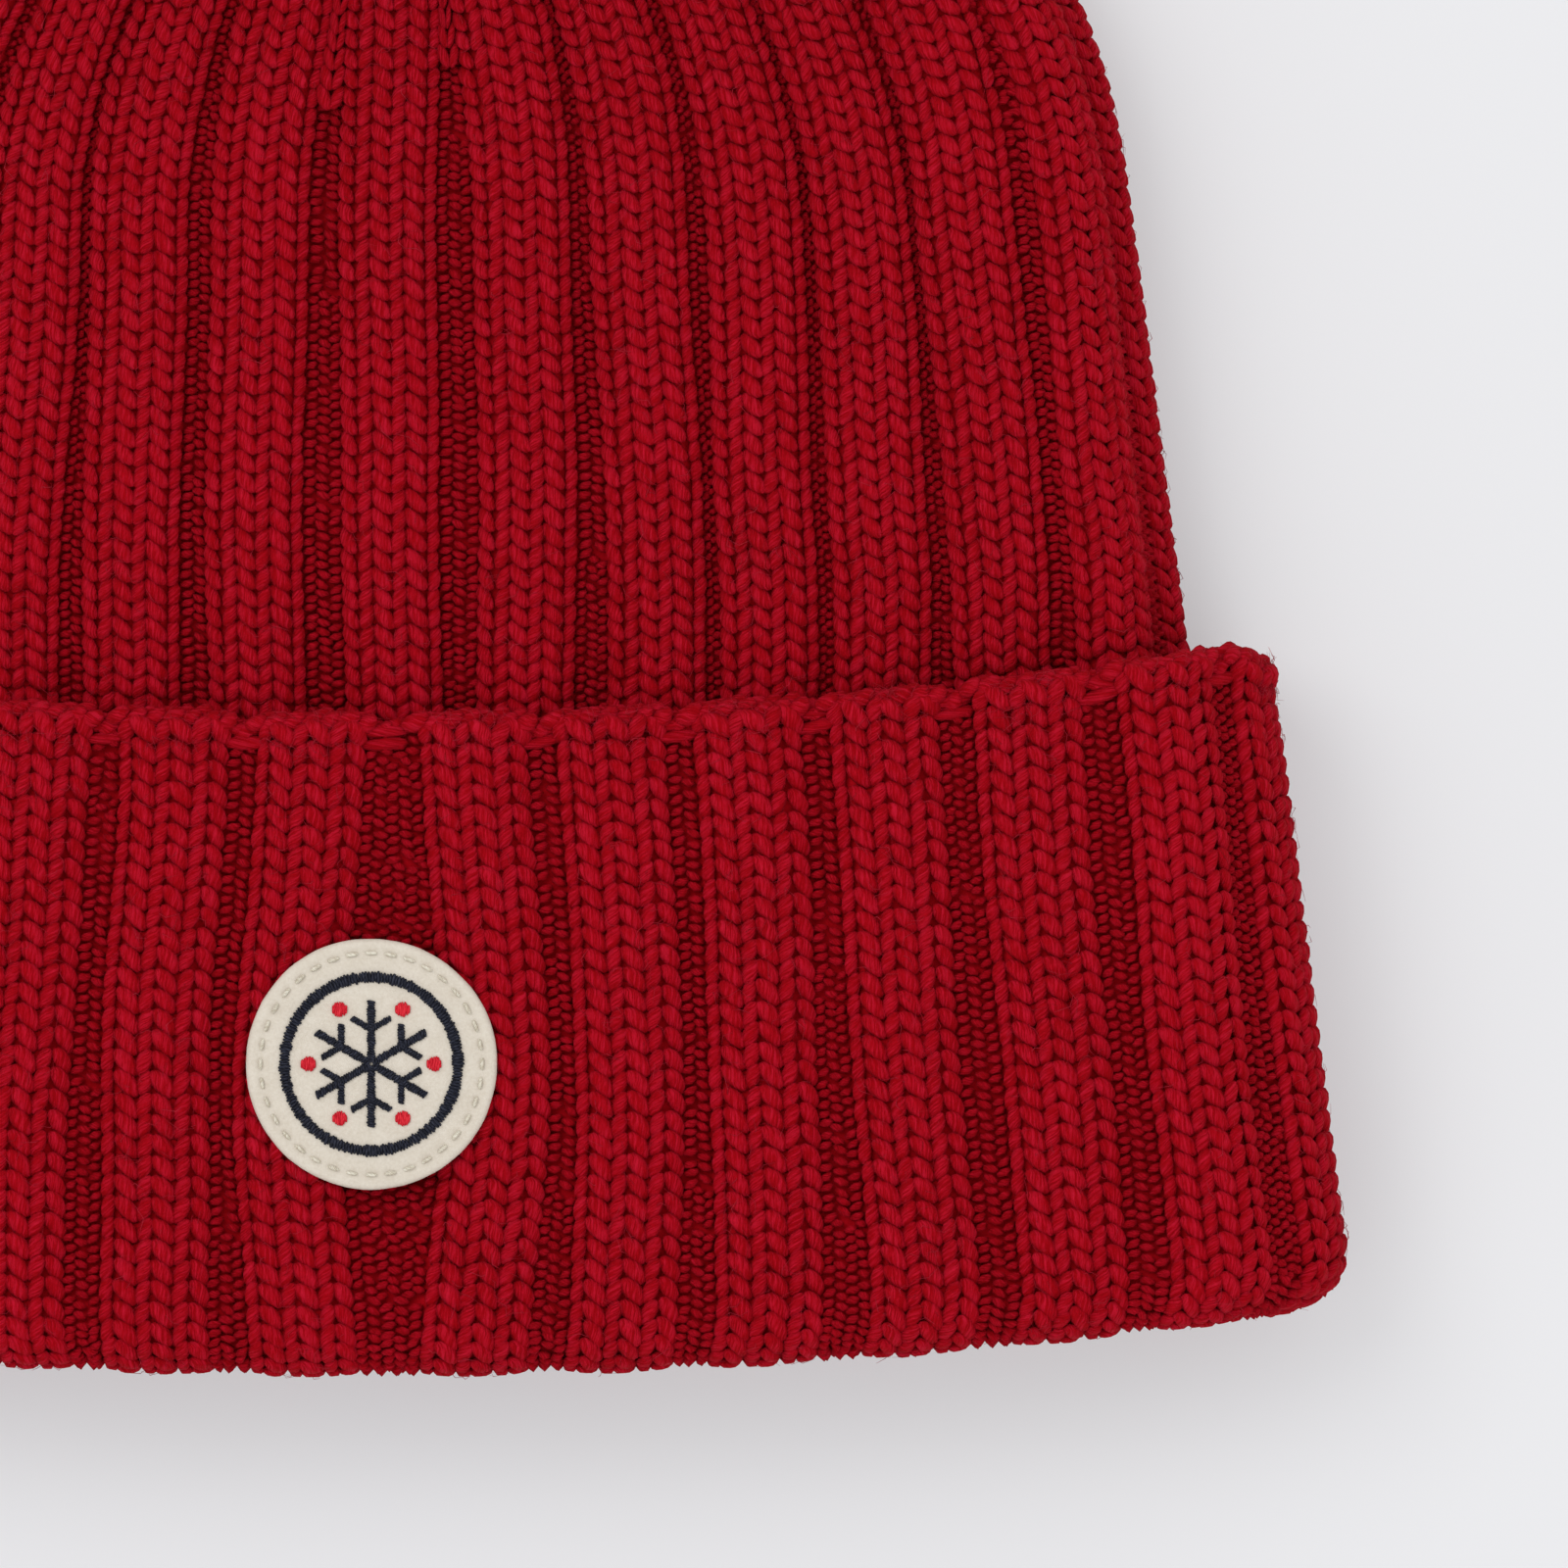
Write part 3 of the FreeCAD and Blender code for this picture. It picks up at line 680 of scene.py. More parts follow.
@dataclass
class StitchCloud:
    """Where grains go: a place, three directions, a size and a kind for each one."""

    places: list = field(default_factory=list)
    turns: list = field(default_factory=list)
    sizes: list = field(default_factory=list)
    kinds: list = field(default_factory=list)

    def add(
        self,
        kind: Grain,
        places: np.ndarray,
        across: np.ndarray,
        along: np.ndarray,
        out: np.ndarray,
        sizes: np.ndarray,
    ) -> None:
        """Adds grains of one kind.

        Args:
            kind: which grain.
            places: their middles, in millimetres.
            across: the direction of their width, one row each.
            along: the direction of their length.
            out: the direction of their height.
            sizes: factors of width, length and height, one row each.
        """
        if not len(places):
            return
        rotation = np.stack([across, along, out], axis=-1)
        pitch = -np.arcsin(np.clip(rotation[:, 2, 0], -1, 1))
        roll = np.arctan2(rotation[:, 2, 1], rotation[:, 2, 2])
        yaw = np.arctan2(rotation[:, 1, 0], rotation[:, 0, 0])
        self.places.append(places)
        self.turns.append(np.stack([roll, pitch, yaw], axis=-1))
        self.sizes.append(np.broadcast_to(sizes, places.shape))
        self.kinds.append(np.full(len(places), kind.value))

    def build(
        self,
        name: str,
        library: GrainLibrary,
        finish: YarnFinish,
        seed: int,
        loose_angle: float = 0.06,
        loose_size: float = 0.05,
    ) -> bpy.types.Object:
        """Sets the grains and turns the result into a plain mesh.

        Args:
            name: the piece's name.
            library: the grains' prototypes.
            finish: the piece's finish.
            seed: the seed of the small irregularities.
            loose_angle: the most that a grain turns either way, in radians.
            loose_size: the most that its size differs, as a share.

        Returns:
            The finished piece, with no modifier left on it.
        """
        places = np.concatenate(self.places)
        mesh = bpy.data.meshes.new(f"{name}_cloud")
        mesh.from_pydata((places * MM).tolist(), [], [])
        for label, values in (("turn", self.turns), ("size", self.sizes)):
            layer = mesh.attributes.new(label, "FLOAT_VECTOR", "POINT")
            layer.data.foreach_set("vector", np.concatenate(values).astype(np.float32).ravel())
        layer = mesh.attributes.new("kind", "INT", "POINT")
        layer.data.foreach_set("value", np.concatenate(self.kinds).astype(np.int32))
        cloud = add_object(f"{name}_cloud", mesh)
        modifier = cloud.modifiers.new("Set stitches", "NODES")
        modifier.node_group = stitch_tree()
        given = {
            "Grains": library.store,
            "Unit": MM,
            "Loose Angle": loose_angle,
            "Loose Size": loose_size,
            "Seed": seed,
            "Material": finish.build(),
        }
        for socket in modifier.node_group.interface.items_tree:
            if socket.in_out == "INPUT" and socket.name in given:
                modifier[socket.identifier] = given[socket.name]
        graph = bpy.context.evaluated_depsgraph_get()
        plain = bpy.data.meshes.new_from_object(cloud.evaluated_get(graph))
        bpy.data.objects.remove(cloud)
        plain.name = name
        plain.polygons.foreach_set("use_smooth", [True] * len(plain.polygons))
        return add_object(name, plain)


# ---------------------------------------------------------------- the knitted tube


@dataclass(frozen=True)
class Section:
    """One flat slot-shaped section of the tube, for each station asked: sizes in millimetres."""

    half: np.ndarray
    corner: np.ndarray
    thick: np.ndarray
    middle: np.ndarray
    dome: np.ndarray
    rise: np.ndarray

    def quarter(self) -> np.ndarray:
        """Length of a quarter of the section, from the front's middle to the side."""
        return self.half - self.corner + math.pi / 2 * np.sqrt((self.corner**2 + self.thick**2) / 2)


@dataclass(frozen=True)
class Knit:
    """What a rib of the knit measures, in millimetres."""

    ribs: int = 28
    wale: float = 4.15
    row: float = 2.47
    crest: float = 0.95
    fall: float = 2.1
    floor: float = 2.3
    crowd: float = 0.11
    twist: float = 2.3


class KnitTube:
    """A flattened tube of ribbed knit, and where every stitch on it lies.

    The legs are drawn for one width of wale and one height of row. Ribs narrow from three wales to two and
    to one as they crowd together, and then only every second and every fourth one goes on.
    """

    first_rib = -13.0
    leg_wale = 4.15
    leg_row = 2.47
    legs = ((Grain.LEFT_LEG, -1.02), (Grain.RIGHT_LEG, 1.08))
    three_wales = 10.5
    two_wales = 6.2
    every_rib = 3.0
    second_rib = 1.5
    wide_gap = 1.3
    lone_gap = 0.6
    bump_step = 1.6
    bump_wide = 1.4
    bump_tall = 0.95
    hidden_bump_tall = 1.7
    bump_tilt = -0.75
    bump_lift = 0.15
    most_bumps = 7
    sway = 0.34
    ripple = 0.16

    def __init__(self, knit: Knit, seed: int) -> None:
        """Keeps the knit's sizes and draws each rib's own slow waves."""
        self.knit = knit
        self.random = np.random.default_rng(seed)
        self.waves = self.random.uniform(0, TURN, (64, 3))
        self.fold = float(corners("turn_up_cuff")[0][1])

    def section(self, station: np.ndarray) -> Section:
        """The section at each station."""
        raise NotImplementedError

    def slide(self, rib: np.ndarray, station: np.ndarray) -> np.ndarray:
        """How far a rib is pushed aside at each station."""
        return self.knit.twist + 0 * station

    def settle(self, course: np.ndarray, deep: np.ndarray) -> tuple:
        """Station and depth of a point that is deep under the face at a place along the cloth."""
        return course, deep

    def arc(self, rib: np.ndarray, quarter: np.ndarray) -> np.ndarray:
        """Arc from the front's middle to a rib, which crowd together halfway to the side."""
        wide = self.knit.ribs / 4
        near = np.where(np.abs(rib) > wide, 2 * wide - np.abs(rib), np.abs(rib)) / wide
        share = near + self.knit.crowd * np.sin(TURN * near) / TURN
        return np.sign(rib) * quarter * np.where(np.abs(rib) > wide, 2 - share, share)

    def middle_of(self, rib: np.ndarray, course: np.ndarray) -> np.ndarray:
        """Arc from the front's middle to a rib's own middle, with the rib's slow waves."""
        station = self.settle(course, 0.0)[0]
        wave = self.waves[(np.round(rib * 2) + 28).astype(int) % (2 * self.knit.ribs)]
        sway = self.sway * np.sin(course / 21 + wave[..., 0])
        sway = sway + self.ripple * np.sin(course / 7.5 + wave[..., 1])
        return self.arc(rib, self.section(station).quarter()) + self.slide(rib, station) + sway

    def gap(self, rib: np.ndarray, half: np.ndarray, course: np.ndarray) -> np.ndarray:
        """Width of the groove after a rib."""
        return self.middle_of(rib + 1.0, course) - self.middle_of(rib, course) - 2 * half

    def pitch(self, rib: np.ndarray, course: np.ndarray) -> np.ndarray:
        """Distance between neighbouring ribs."""
        quarter = self.section(self.settle(course, 0.0)[0]).quarter()
        wide = self.knit.ribs / 4
        return quarter / wide * (1 + self.knit.crowd * np.cos(TURN * rib / wide))

    def relief(self, aside: np.ndarray, half: np.ndarray, course: np.ndarray) -> np.ndarray:
        """How deep the stitches lie under the tube's face, at a distance from the middle of their rib."""
        share = np.abs(aside) / half
        top = self.knit.fall * np.minimum(share, 1.0) ** 2.8
        wall = smooth_step(share, 0.94, 1.07)
        return self.knit.crest + (top + (self.knit.floor - top) * wall) * self.calm(course)

    def calm(self, course: np.ndarray) -> np.ndarray:
        """How much of its full depth the relief has."""
        return np.ones_like(course)

    def spot(
        self, rib: np.ndarray, aside: np.ndarray, course: np.ndarray, deep: np.ndarray
    ) -> np.ndarray:
        """Points of the cloth.

        Args:
            rib: number of the rib, from the front's middle.
            aside: distance from the rib's middle, along the section.
            course: place along the cloth.
            deep: depth under the face.

        Returns:
            The points, one row each, in millimetres.
        """
        station, depth = self.settle(course, deep)
        shape = self.section(station)
        quarter = shape.quarter()
        face = self.section(self.settle(course, 0.0)[0]).quarter()
        travel = self.middle_of(rib, course) + aside
        travel = (travel + 2 * face) % (4 * face) - 2 * face
        distance = np.abs(travel) * quarter / face
        front = distance <= quarter
        distance = np.where(front, distance, 2 * quarter - distance)
        flat = shape.half - shape.corner
        angle = np.clip((distance - flat) / np.maximum(quarter - flat, 1e-6), 0, 1) * math.pi / 2
        corner = np.maximum(shape.corner - depth, 0.3)
        thick = np.maximum(shape.thick - depth, 0.3)
        across = np.minimum(distance, flat) + corner * np.sin(angle)
        share = np.minimum(across / np.maximum(shape.half, 0.5), 1.05)
        dome = shape.dome * (1 - share**2)
        up = shape.middle + np.where(front, 1, -1) * thick * np.cos(angle) + front * np.maximum(dome, 0)
        place = self.fold + station + shape.rise * share**2
        return np.stack([np.sign(travel) * across, place, up], axis=-1)

    def lay(
        self, rib: np.ndarray, aside: np.ndarray, half: np.ndarray, course: np.ndarray, lift: float = 0.0
    ) -> tuple:
        """Places and directions of stitches.

        Args:
            rib: number of each stitch's rib.
            aside: its distance from the rib's middle.
            half: half width of its rib.
            course: its place along the cloth.
            lift: how far it stands out of the knit's relief.

        Returns:
            Places, and the directions across, along and out of the cloth, one row each.
        """
        step = 0.3

        def at(more_aside: float, more_course: float) -> np.ndarray:
            """A point near each stitch."""
            side, run = aside + more_aside, course + more_course
            return self.spot(rib, side, run, self.relief(side, half, run) - lift)

        across = unit(at(step, 0) - at(-step, 0))
        along = unit(at(0, step) - at(0, -step))
        out = unit(np.cross(across, along))
        return at(0, 0), np.cross(along, out), along, out

    def wales(self, pitch: np.ndarray, rib: float) -> tuple:
        """Number of wales in a rib and their width, where ribs are this far apart."""
        count = np.where(pitch > self.three_wales, 3, np.where(pitch > self.two_wales, 2, 1))
        gap = np.where(count == 1, self.lone_gap, self.wide_gap)
        width = np.minimum((pitch - gap) / count, self.knit.wale)
        keep = pitch > self.every_rib
        keep |= (pitch > self.second_rib) & (rib % 2 == 0)
        keep |= rib % 4 == 0
        spare = np.where(pitch > self.every_rib, 1.0, np.where(pitch > self.second_rib, 2.0, 4.0))
        width = np.where(count == 1, np.clip(pitch * spare - 0.4, 1.5, self.knit.wale), width)
        return np.where(keep, count, 0), width

    def rows(self, rib: float) -> np.ndarray:
        """Places of a rib's rows along the cloth."""
        raise NotImplementedError

    def rib_numbers(self) -> np.ndarray:
        """Numbers of all ribs round the tube."""
        return self.first_rib + np.arange(self.knit.ribs)

    def gather_ribs(self, clouds: dict, turned: bool, part: Callable[[float, bool], str]) -> None:
        """Adds the legs of every knit stitch and the bumps of every purl stitch.

        Args:
            clouds: for each part's name, its cloud.
            turned: the cloth lies upside down, as in a turned-up cuff.
            part: names the cloud for a rib and whether it is a groove.
        """
        sign = -1.0 if turned else 1.0
        for rib in self.rib_numbers():
            rows = self.rows(rib)
            rows = rows + self.random.uniform(-0.12, 0.12, len(rows))
            pitch = self.pitch(np.full(len(rows), rib), rows)
            count, width = self.wales(pitch, rib)
            half = np.maximum(count, 1) * width / 2
            cloud = clouds[part(rib, False)]
            for number in range(3):
                used = count > number
                if not used.any():
                    continue
                course, wide, ribs = rows[used], width[used], half[used]
                middle = (number - (count[used] - 1) / 2) * wide
                grow = wide / self.leg_wale
                tall = self.knit.row / self.leg_row
                for kind, offset in self.legs:
                    aside = middle + sign * offset * grow
                    aside = aside + self.random.uniform(-0.1, 0.1, len(course))
                    places, across, along, out = self.lay(np.full(len(course), rib), aside, ribs, course)
                    size = np.stack([grow, np.full_like(grow, tall), 0.6 + 0.4 * grow], axis=-1)
                    cloud.add(kind, places, sign * across, sign * along, out, size)
            self.gather_groove(clouds[part(rib, True)], rib, rows, half, count)
            closed = self.merged(rib, rows) & (count > 1)
            if closed.any():
                self.gather_filling(cloud, rib, rows[closed], half[closed])

    def gather_filling(self, cloud: StitchCloud, rib: float, rows: np.ndarray, half: np.ndarray) -> None:
        """Adds a wale of plain stitches where the groove after a rib has closed.

        Args:
            cloud: where they go.
            rib: number of the rib.
            rows: places of the filled rows.
            half: half width of the rib at each row.
        """
        overlap = 0.25
        number = np.full(len(rows), rib)
        gap = self.gap(number, half, rows) + 2 * overlap
        grow = gap / self.leg_wale
        flat = np.full(len(rows), 200.0)
        for kind, offset in self.legs:
            aside = half - overlap + gap / 2 + offset * grow
            places, across, along, out = self.lay(number, aside, flat, rows, lift=-0.9)
            size = np.stack([grow, np.ones_like(grow), np.full_like(grow, 0.8)], axis=-1)
            cloud.add(kind, places, across, along, out, size)

    def gather_groove(
        self, cloud: StitchCloud, rib: float, rows: np.ndarray, half: np.ndarray, count: np.ndarray
    ) -> None:
        """Adds the purl bumps of the groove that follows a rib.

        Args:
            cloud: where they go.
            rib: number of the rib.
            rows: places of its rows.
            half: half width of the rib at each row.
            count: number of the rib's wales at each row.
        """
        gap = self.gap(np.full(len(rows), rib), half, rows)
        open_columns = np.clip(np.round(gap / self.bump_step), 2, self.most_bumps)
        closed = (gap <= self.lone_gap) | (count <= 1) | self.merged(rib, rows)
        columns = np.where(closed, 0, open_columns)
        hidden = abs(rib) > self.knit.ribs / 4
        for number in range(2 * self.most_bumps):
            column, upper = divmod(number, 2)
            used = columns > column
            if not used.any() or (hidden and upper):
                continue
            step = (gap[used] + 0.2) / columns[used]
            aside = half[used] - 0.1 + step * (column + 0.5)
            course = rows[used] + self.knit.row / 2 * upper + self.knit.row / 4 * (column % 2)
            aside = aside + self.random.uniform(-0.22, 0.22, len(course))
            course = course + self.random.uniform(-0.15, 0.15, len(course))
            place = np.full(used.sum(), rib)
            places, across, along, out = self.lay(place, aside, half[used], course, lift=self.bump_lift)
            grow = np.clip(step / self.bump_wide, 0.7, 1.25)
            tilt = self.bump_tilt if column % 2 else 0.0
            turn = tilt + self.random.uniform(-0.25, 0.25, len(course))
            side = across * np.cos(turn)[:, None] + along * np.sin(turn)[:, None]
            tall = np.full_like(grow, self.hidden_bump_tall if hidden else self.bump_tall)
            size = np.stack([grow, tall, grow], axis=-1)
            cloud.add(Grain.PURL_BUMP, places, side, np.cross(out, side), out, size)

    def merged(self, rib: float, rows: np.ndarray) -> np.ndarray:
        """Where the groove after a rib has closed, and plain stitches fill it."""
        return np.zeros(len(rows), bool)

    def ground(self, courses: np.ndarray, behind: float, inner: float) -> tuple:
        """Points of the base cloth, just under the stitches, and of its other face.

        Args:
            courses: places along the cloth, one for each row of points.
            behind: depth of the cloth under the stitches' middles.
            inner: depth of the other face.

        Returns:
            The outer and the inner grid, rows x columns x 3.
        """
        outer, under = [], []
        for course in courses:
            numbers, sides, halves = [], [], []
            for rib in self.rib_numbers():
                pitch = float(self.pitch(np.array([rib]), np.array([course]))[0])
                count, width = self.wales(np.array([pitch]), rib)
                half = min(max(int(count[0]), 1) * float(width[0]) / 2, 0.44 * pitch)
                gap = float(self.gap(np.array([rib]), np.array([half]), np.array([course]))[0])
                gap = max(gap, 0.3)
                foot = min(0.07 * half, gap / 3)
                ladder = [-half - foot, -0.97 * half, -0.8 * half, -0.45 * half, 0.0]
                ladder += [0.45 * half, 0.8 * half, 0.97 * half, half + foot, half + gap / 2]
                sides += ladder
                numbers += [rib] * len(ladder)
                halves += [half] * len(ladder)
            rib, aside, half = np.array(numbers), np.array(sides), np.array(halves)
            run = np.full(len(rib), course)
            shallow = np.minimum(1.0, self.pitch(rib, run) / 12)
            deep = self.knit.crest + (self.relief(aside, half, run) - self.knit.crest) * shallow
            outer.append(self.spot(rib, aside, run, deep + behind * (0.4 + 0.6 * shallow)))
            under.append(self.spot(rib, aside, run, np.full(len(rib), inner)))
        return np.array(outer), np.array(under)


class Crown(KnitTube):
    """The body of the hat: a band under the cuff, a tapering tube, and a dome that gathers to the tip.

    Its sides close in a little with every millimetre. The band is thinner than the tube, and the front of
    the tube swells. Towards the tip the front comes down and the back comes up.
    """

    band_thick = 12.2
    band_middle = 18.0
    band_top = 95.0
    band_flare = 0.04
    band_ahead = 11.0
    level = 80.0
    drop = 100.0
    shoulder = 150.0
    shoulder_ahead = 9.0
    cuff_top = 84.0
    first_row = 77.0
    base_start = 37.0
    tip_gap = 5.0
    tip_fall = 8.5
    tip_rise = 10.0
    tip_round = 2.6
    side_half = 104.3
    side_place = 95.6
    side_taper = 0.128
    swell = 2.5
    swell_start = 90.0
    swell_end = 112.0
    samples = 600
    closing_grooves = {-1.0: 163.0, 0.0: 166.0}

    def __init__(self, knit: Knit, seed: int) -> None:
        """Reads the crown's size from its node."""
        super().__init__(knit, seed)
        highest = corners("crown_body")[1]
        self.top = float(highest[1]) - self.fold
        self.high = float(highest[2])
        self.last = self.top - 3.2
        edge = np.linspace(self.shoulder + self.shoulder_ahead, self.top, 400)
        outline = np.stack([self.outline(edge), edge], axis=-1)
        run = np.concatenate([[0], np.cumsum(np.linalg.norm(np.diff(outline, axis=0), axis=1))])
        self.edge_run, self.edge_place = run / run[-1], edge

    def outline(self, place: np.ndarray) -> np.ndarray:
        """Half width of the crown at a place along its edge."""
        share = np.clip((place - self.shoulder) / (self.top - self.shoulder), 0, 1)
        band = self.band_flare * np.maximum(self.band_top - place, 0)
        straight = self.side_half - self.side_taper * (place - self.side_place) + band
        return straight * np.sqrt(np.maximum(1 - share**self.tip_round, 0))

    def section(self, station: np.ndarray) -> Section:
        """The section at each station."""
        station = np.asarray(station, float)
        share = np.clip((station - self.shoulder) / (self.top - self.shoulder), 0, 1)
        low = np.clip((station - self.cuff_top) / (self.shoulder - self.cuff_top), 0, 1)
        edge = np.where(
            station > self.shoulder,
            np.interp(share, self.edge_run, self.edge_place),
            station + self.band_ahead - (self.band_ahead - self.shoulder_ahead) * low,
        )
        half = np.maximum(self.outline(edge), 0.6)
        drop = smooth_step(station, self.level, self.drop)
        top, bottom = self.high - self.tip_fall * share**2, self.tip_rise * share**2
        thick = self.band_thick + (self.high / 2 - self.band_thick) * drop
        thick = np.where(share > 0, (top - bottom) / 2, thick)
        middle = self.band_middle + (self.high / 2 - self.band_middle) * drop
        middle = np.where(share > 0, (top + bottom) / 2, middle)
        dome = self.swell * smooth_step(station, self.swell_start, self.swell_end) * (1 - share)
        return Section(half, np.minimum(thick, half), thick, middle, dome, edge - station)

    def merged(self, rib: float, rows: np.ndarray) -> np.ndarray:
        """The two grooves beside the front's middle rib close below the dome's top."""
        return rows > self.closing_grooves.get(float(rib), math.inf)

    def calm(self, course: np.ndarray) -> np.ndarray:
        """The band is smooth where the cuff hides it."""
        return 0.1 + 0.9 * smooth_step(course, 70, 76)

    def rows(self, rib: float) -> np.ndarray:
        """Places of a rib's rows, one stitch apart along the rib."""
        stations = np.linspace(self.first_row, self.last, self.samples)
        level = np.zeros(self.samples)
        path = self.spot(level + rib, level, stations, level + 1.0)
        run = np.concatenate([[0], np.cumsum(np.linalg.norm(np.diff(path, axis=0), axis=1))])
        return np.interp(np.arange(0.3, run[-1], self.knit.row), run, stations)


class Cuff(KnitTube):
    """The turned-up cuff: its outside, the round fold at the mouth, and the band that goes up inside."""

    first_rib = -13.5
    fold_radius = 5.5
    fold_reach = 9.0
    fold_inset = 7.0
    tall = 84.0
    top_row = 73.7
    inside_rows = 46.0
    side_taper = 0.1275
    rib_swell = 3.4
    bow = 8.5
    bow_more = 1.2
    edge_wide = 116.0
    edge_round = 2.6
    patch_place = 40.0
    patch_reach = 24.0

    def __init__(self, knit: Knit, seed: int) -> None:
        """Reads the cuff's size from its node."""
        super().__init__(knit, seed)
        highest = corners("turn_up_cuff")[1]
        self.thick = float(highest[2]) / 2
        self.wide = float(highest[0]) + self.rib_swell
        self.turn_end = -math.pi * self.fold_radius

    def section(self, station: np.ndarray) -> Section:
        """The section at each station."""
        station = np.asarray(station, float)
        near = np.clip((self.fold_reach - station) / self.fold_reach, 0, 1)
        half = self.wide - self.side_taper * station - self.fold_inset * (1 - np.sqrt(1 - near**2))
        thick = np.full_like(station, self.thick)
        rise = self.bow + self.bow_more * np.clip(station / self.tall, 0, 1)
        return Section(half, thick, thick, thick, 0 * station, rise)

    def slide(self, rib: np.ndarray, station: np.ndarray) -> np.ndarray:
        """The ribs beside the patch stand apart."""
        near = np.exp(-(((station - self.patch_place) / self.patch_reach) ** 2)) * 2.6 + 1.2
        return self.knit.twist + np.sign(rib) * near * np.exp(-(((np.abs(rib) - 0.5) / 1.3) ** 2))

    def settle(self, course: np.ndarray, deep: np.ndarray) -> tuple:
        """Station and depth round the fold: a course is 0 where the fold starts, and less beyond it."""
        course = np.asarray(course, float)
        angle = np.clip(-course / self.fold_radius, 0, math.pi)
        turned = self.fold_radius * (1 - np.sin(angle))
        station = np.where(course >= 0, self.fold_radius + course, turned)
        station = np.where(course < self.turn_end, self.fold_radius + self.turn_end - course, station)
        depth = self.fold_radius * (1 - np.cos(angle))
        return station + deep * np.sin(angle), depth + deep * np.cos(angle)

    def spot(
        self, rib: np.ndarray, aside: np.ndarray, course: np.ndarray, deep: np.ndarray
    ) -> np.ndarray:
        """Points of the cloth, with the cast-on edge rounded off at both sides."""
        points = super().spot(rib, aside, course, deep)
        side = smooth_step(np.abs(points[..., 0]), self.edge_wide - 8.0, self.edge_wide)
        points[..., 1] -= self.edge_round * side * smooth_step(course, 62, 78)
        return points

    def calm(self, course: np.ndarray) -> np.ndarray:
        """The fold stretches the knit, which flattens its ribs."""
        return 1 - 0.75 * np.exp(-(((course + 6) / 9) ** 2))

    def rows(self, rib: float) -> np.ndarray:
        """Places of a rib's rows, from the cast-on edge down, round the fold and up inside."""
        return np.arange(self.top_row, -self.inside_rows, -self.knit.row)


# ---------------------------------------------------------------- the hat's pieces


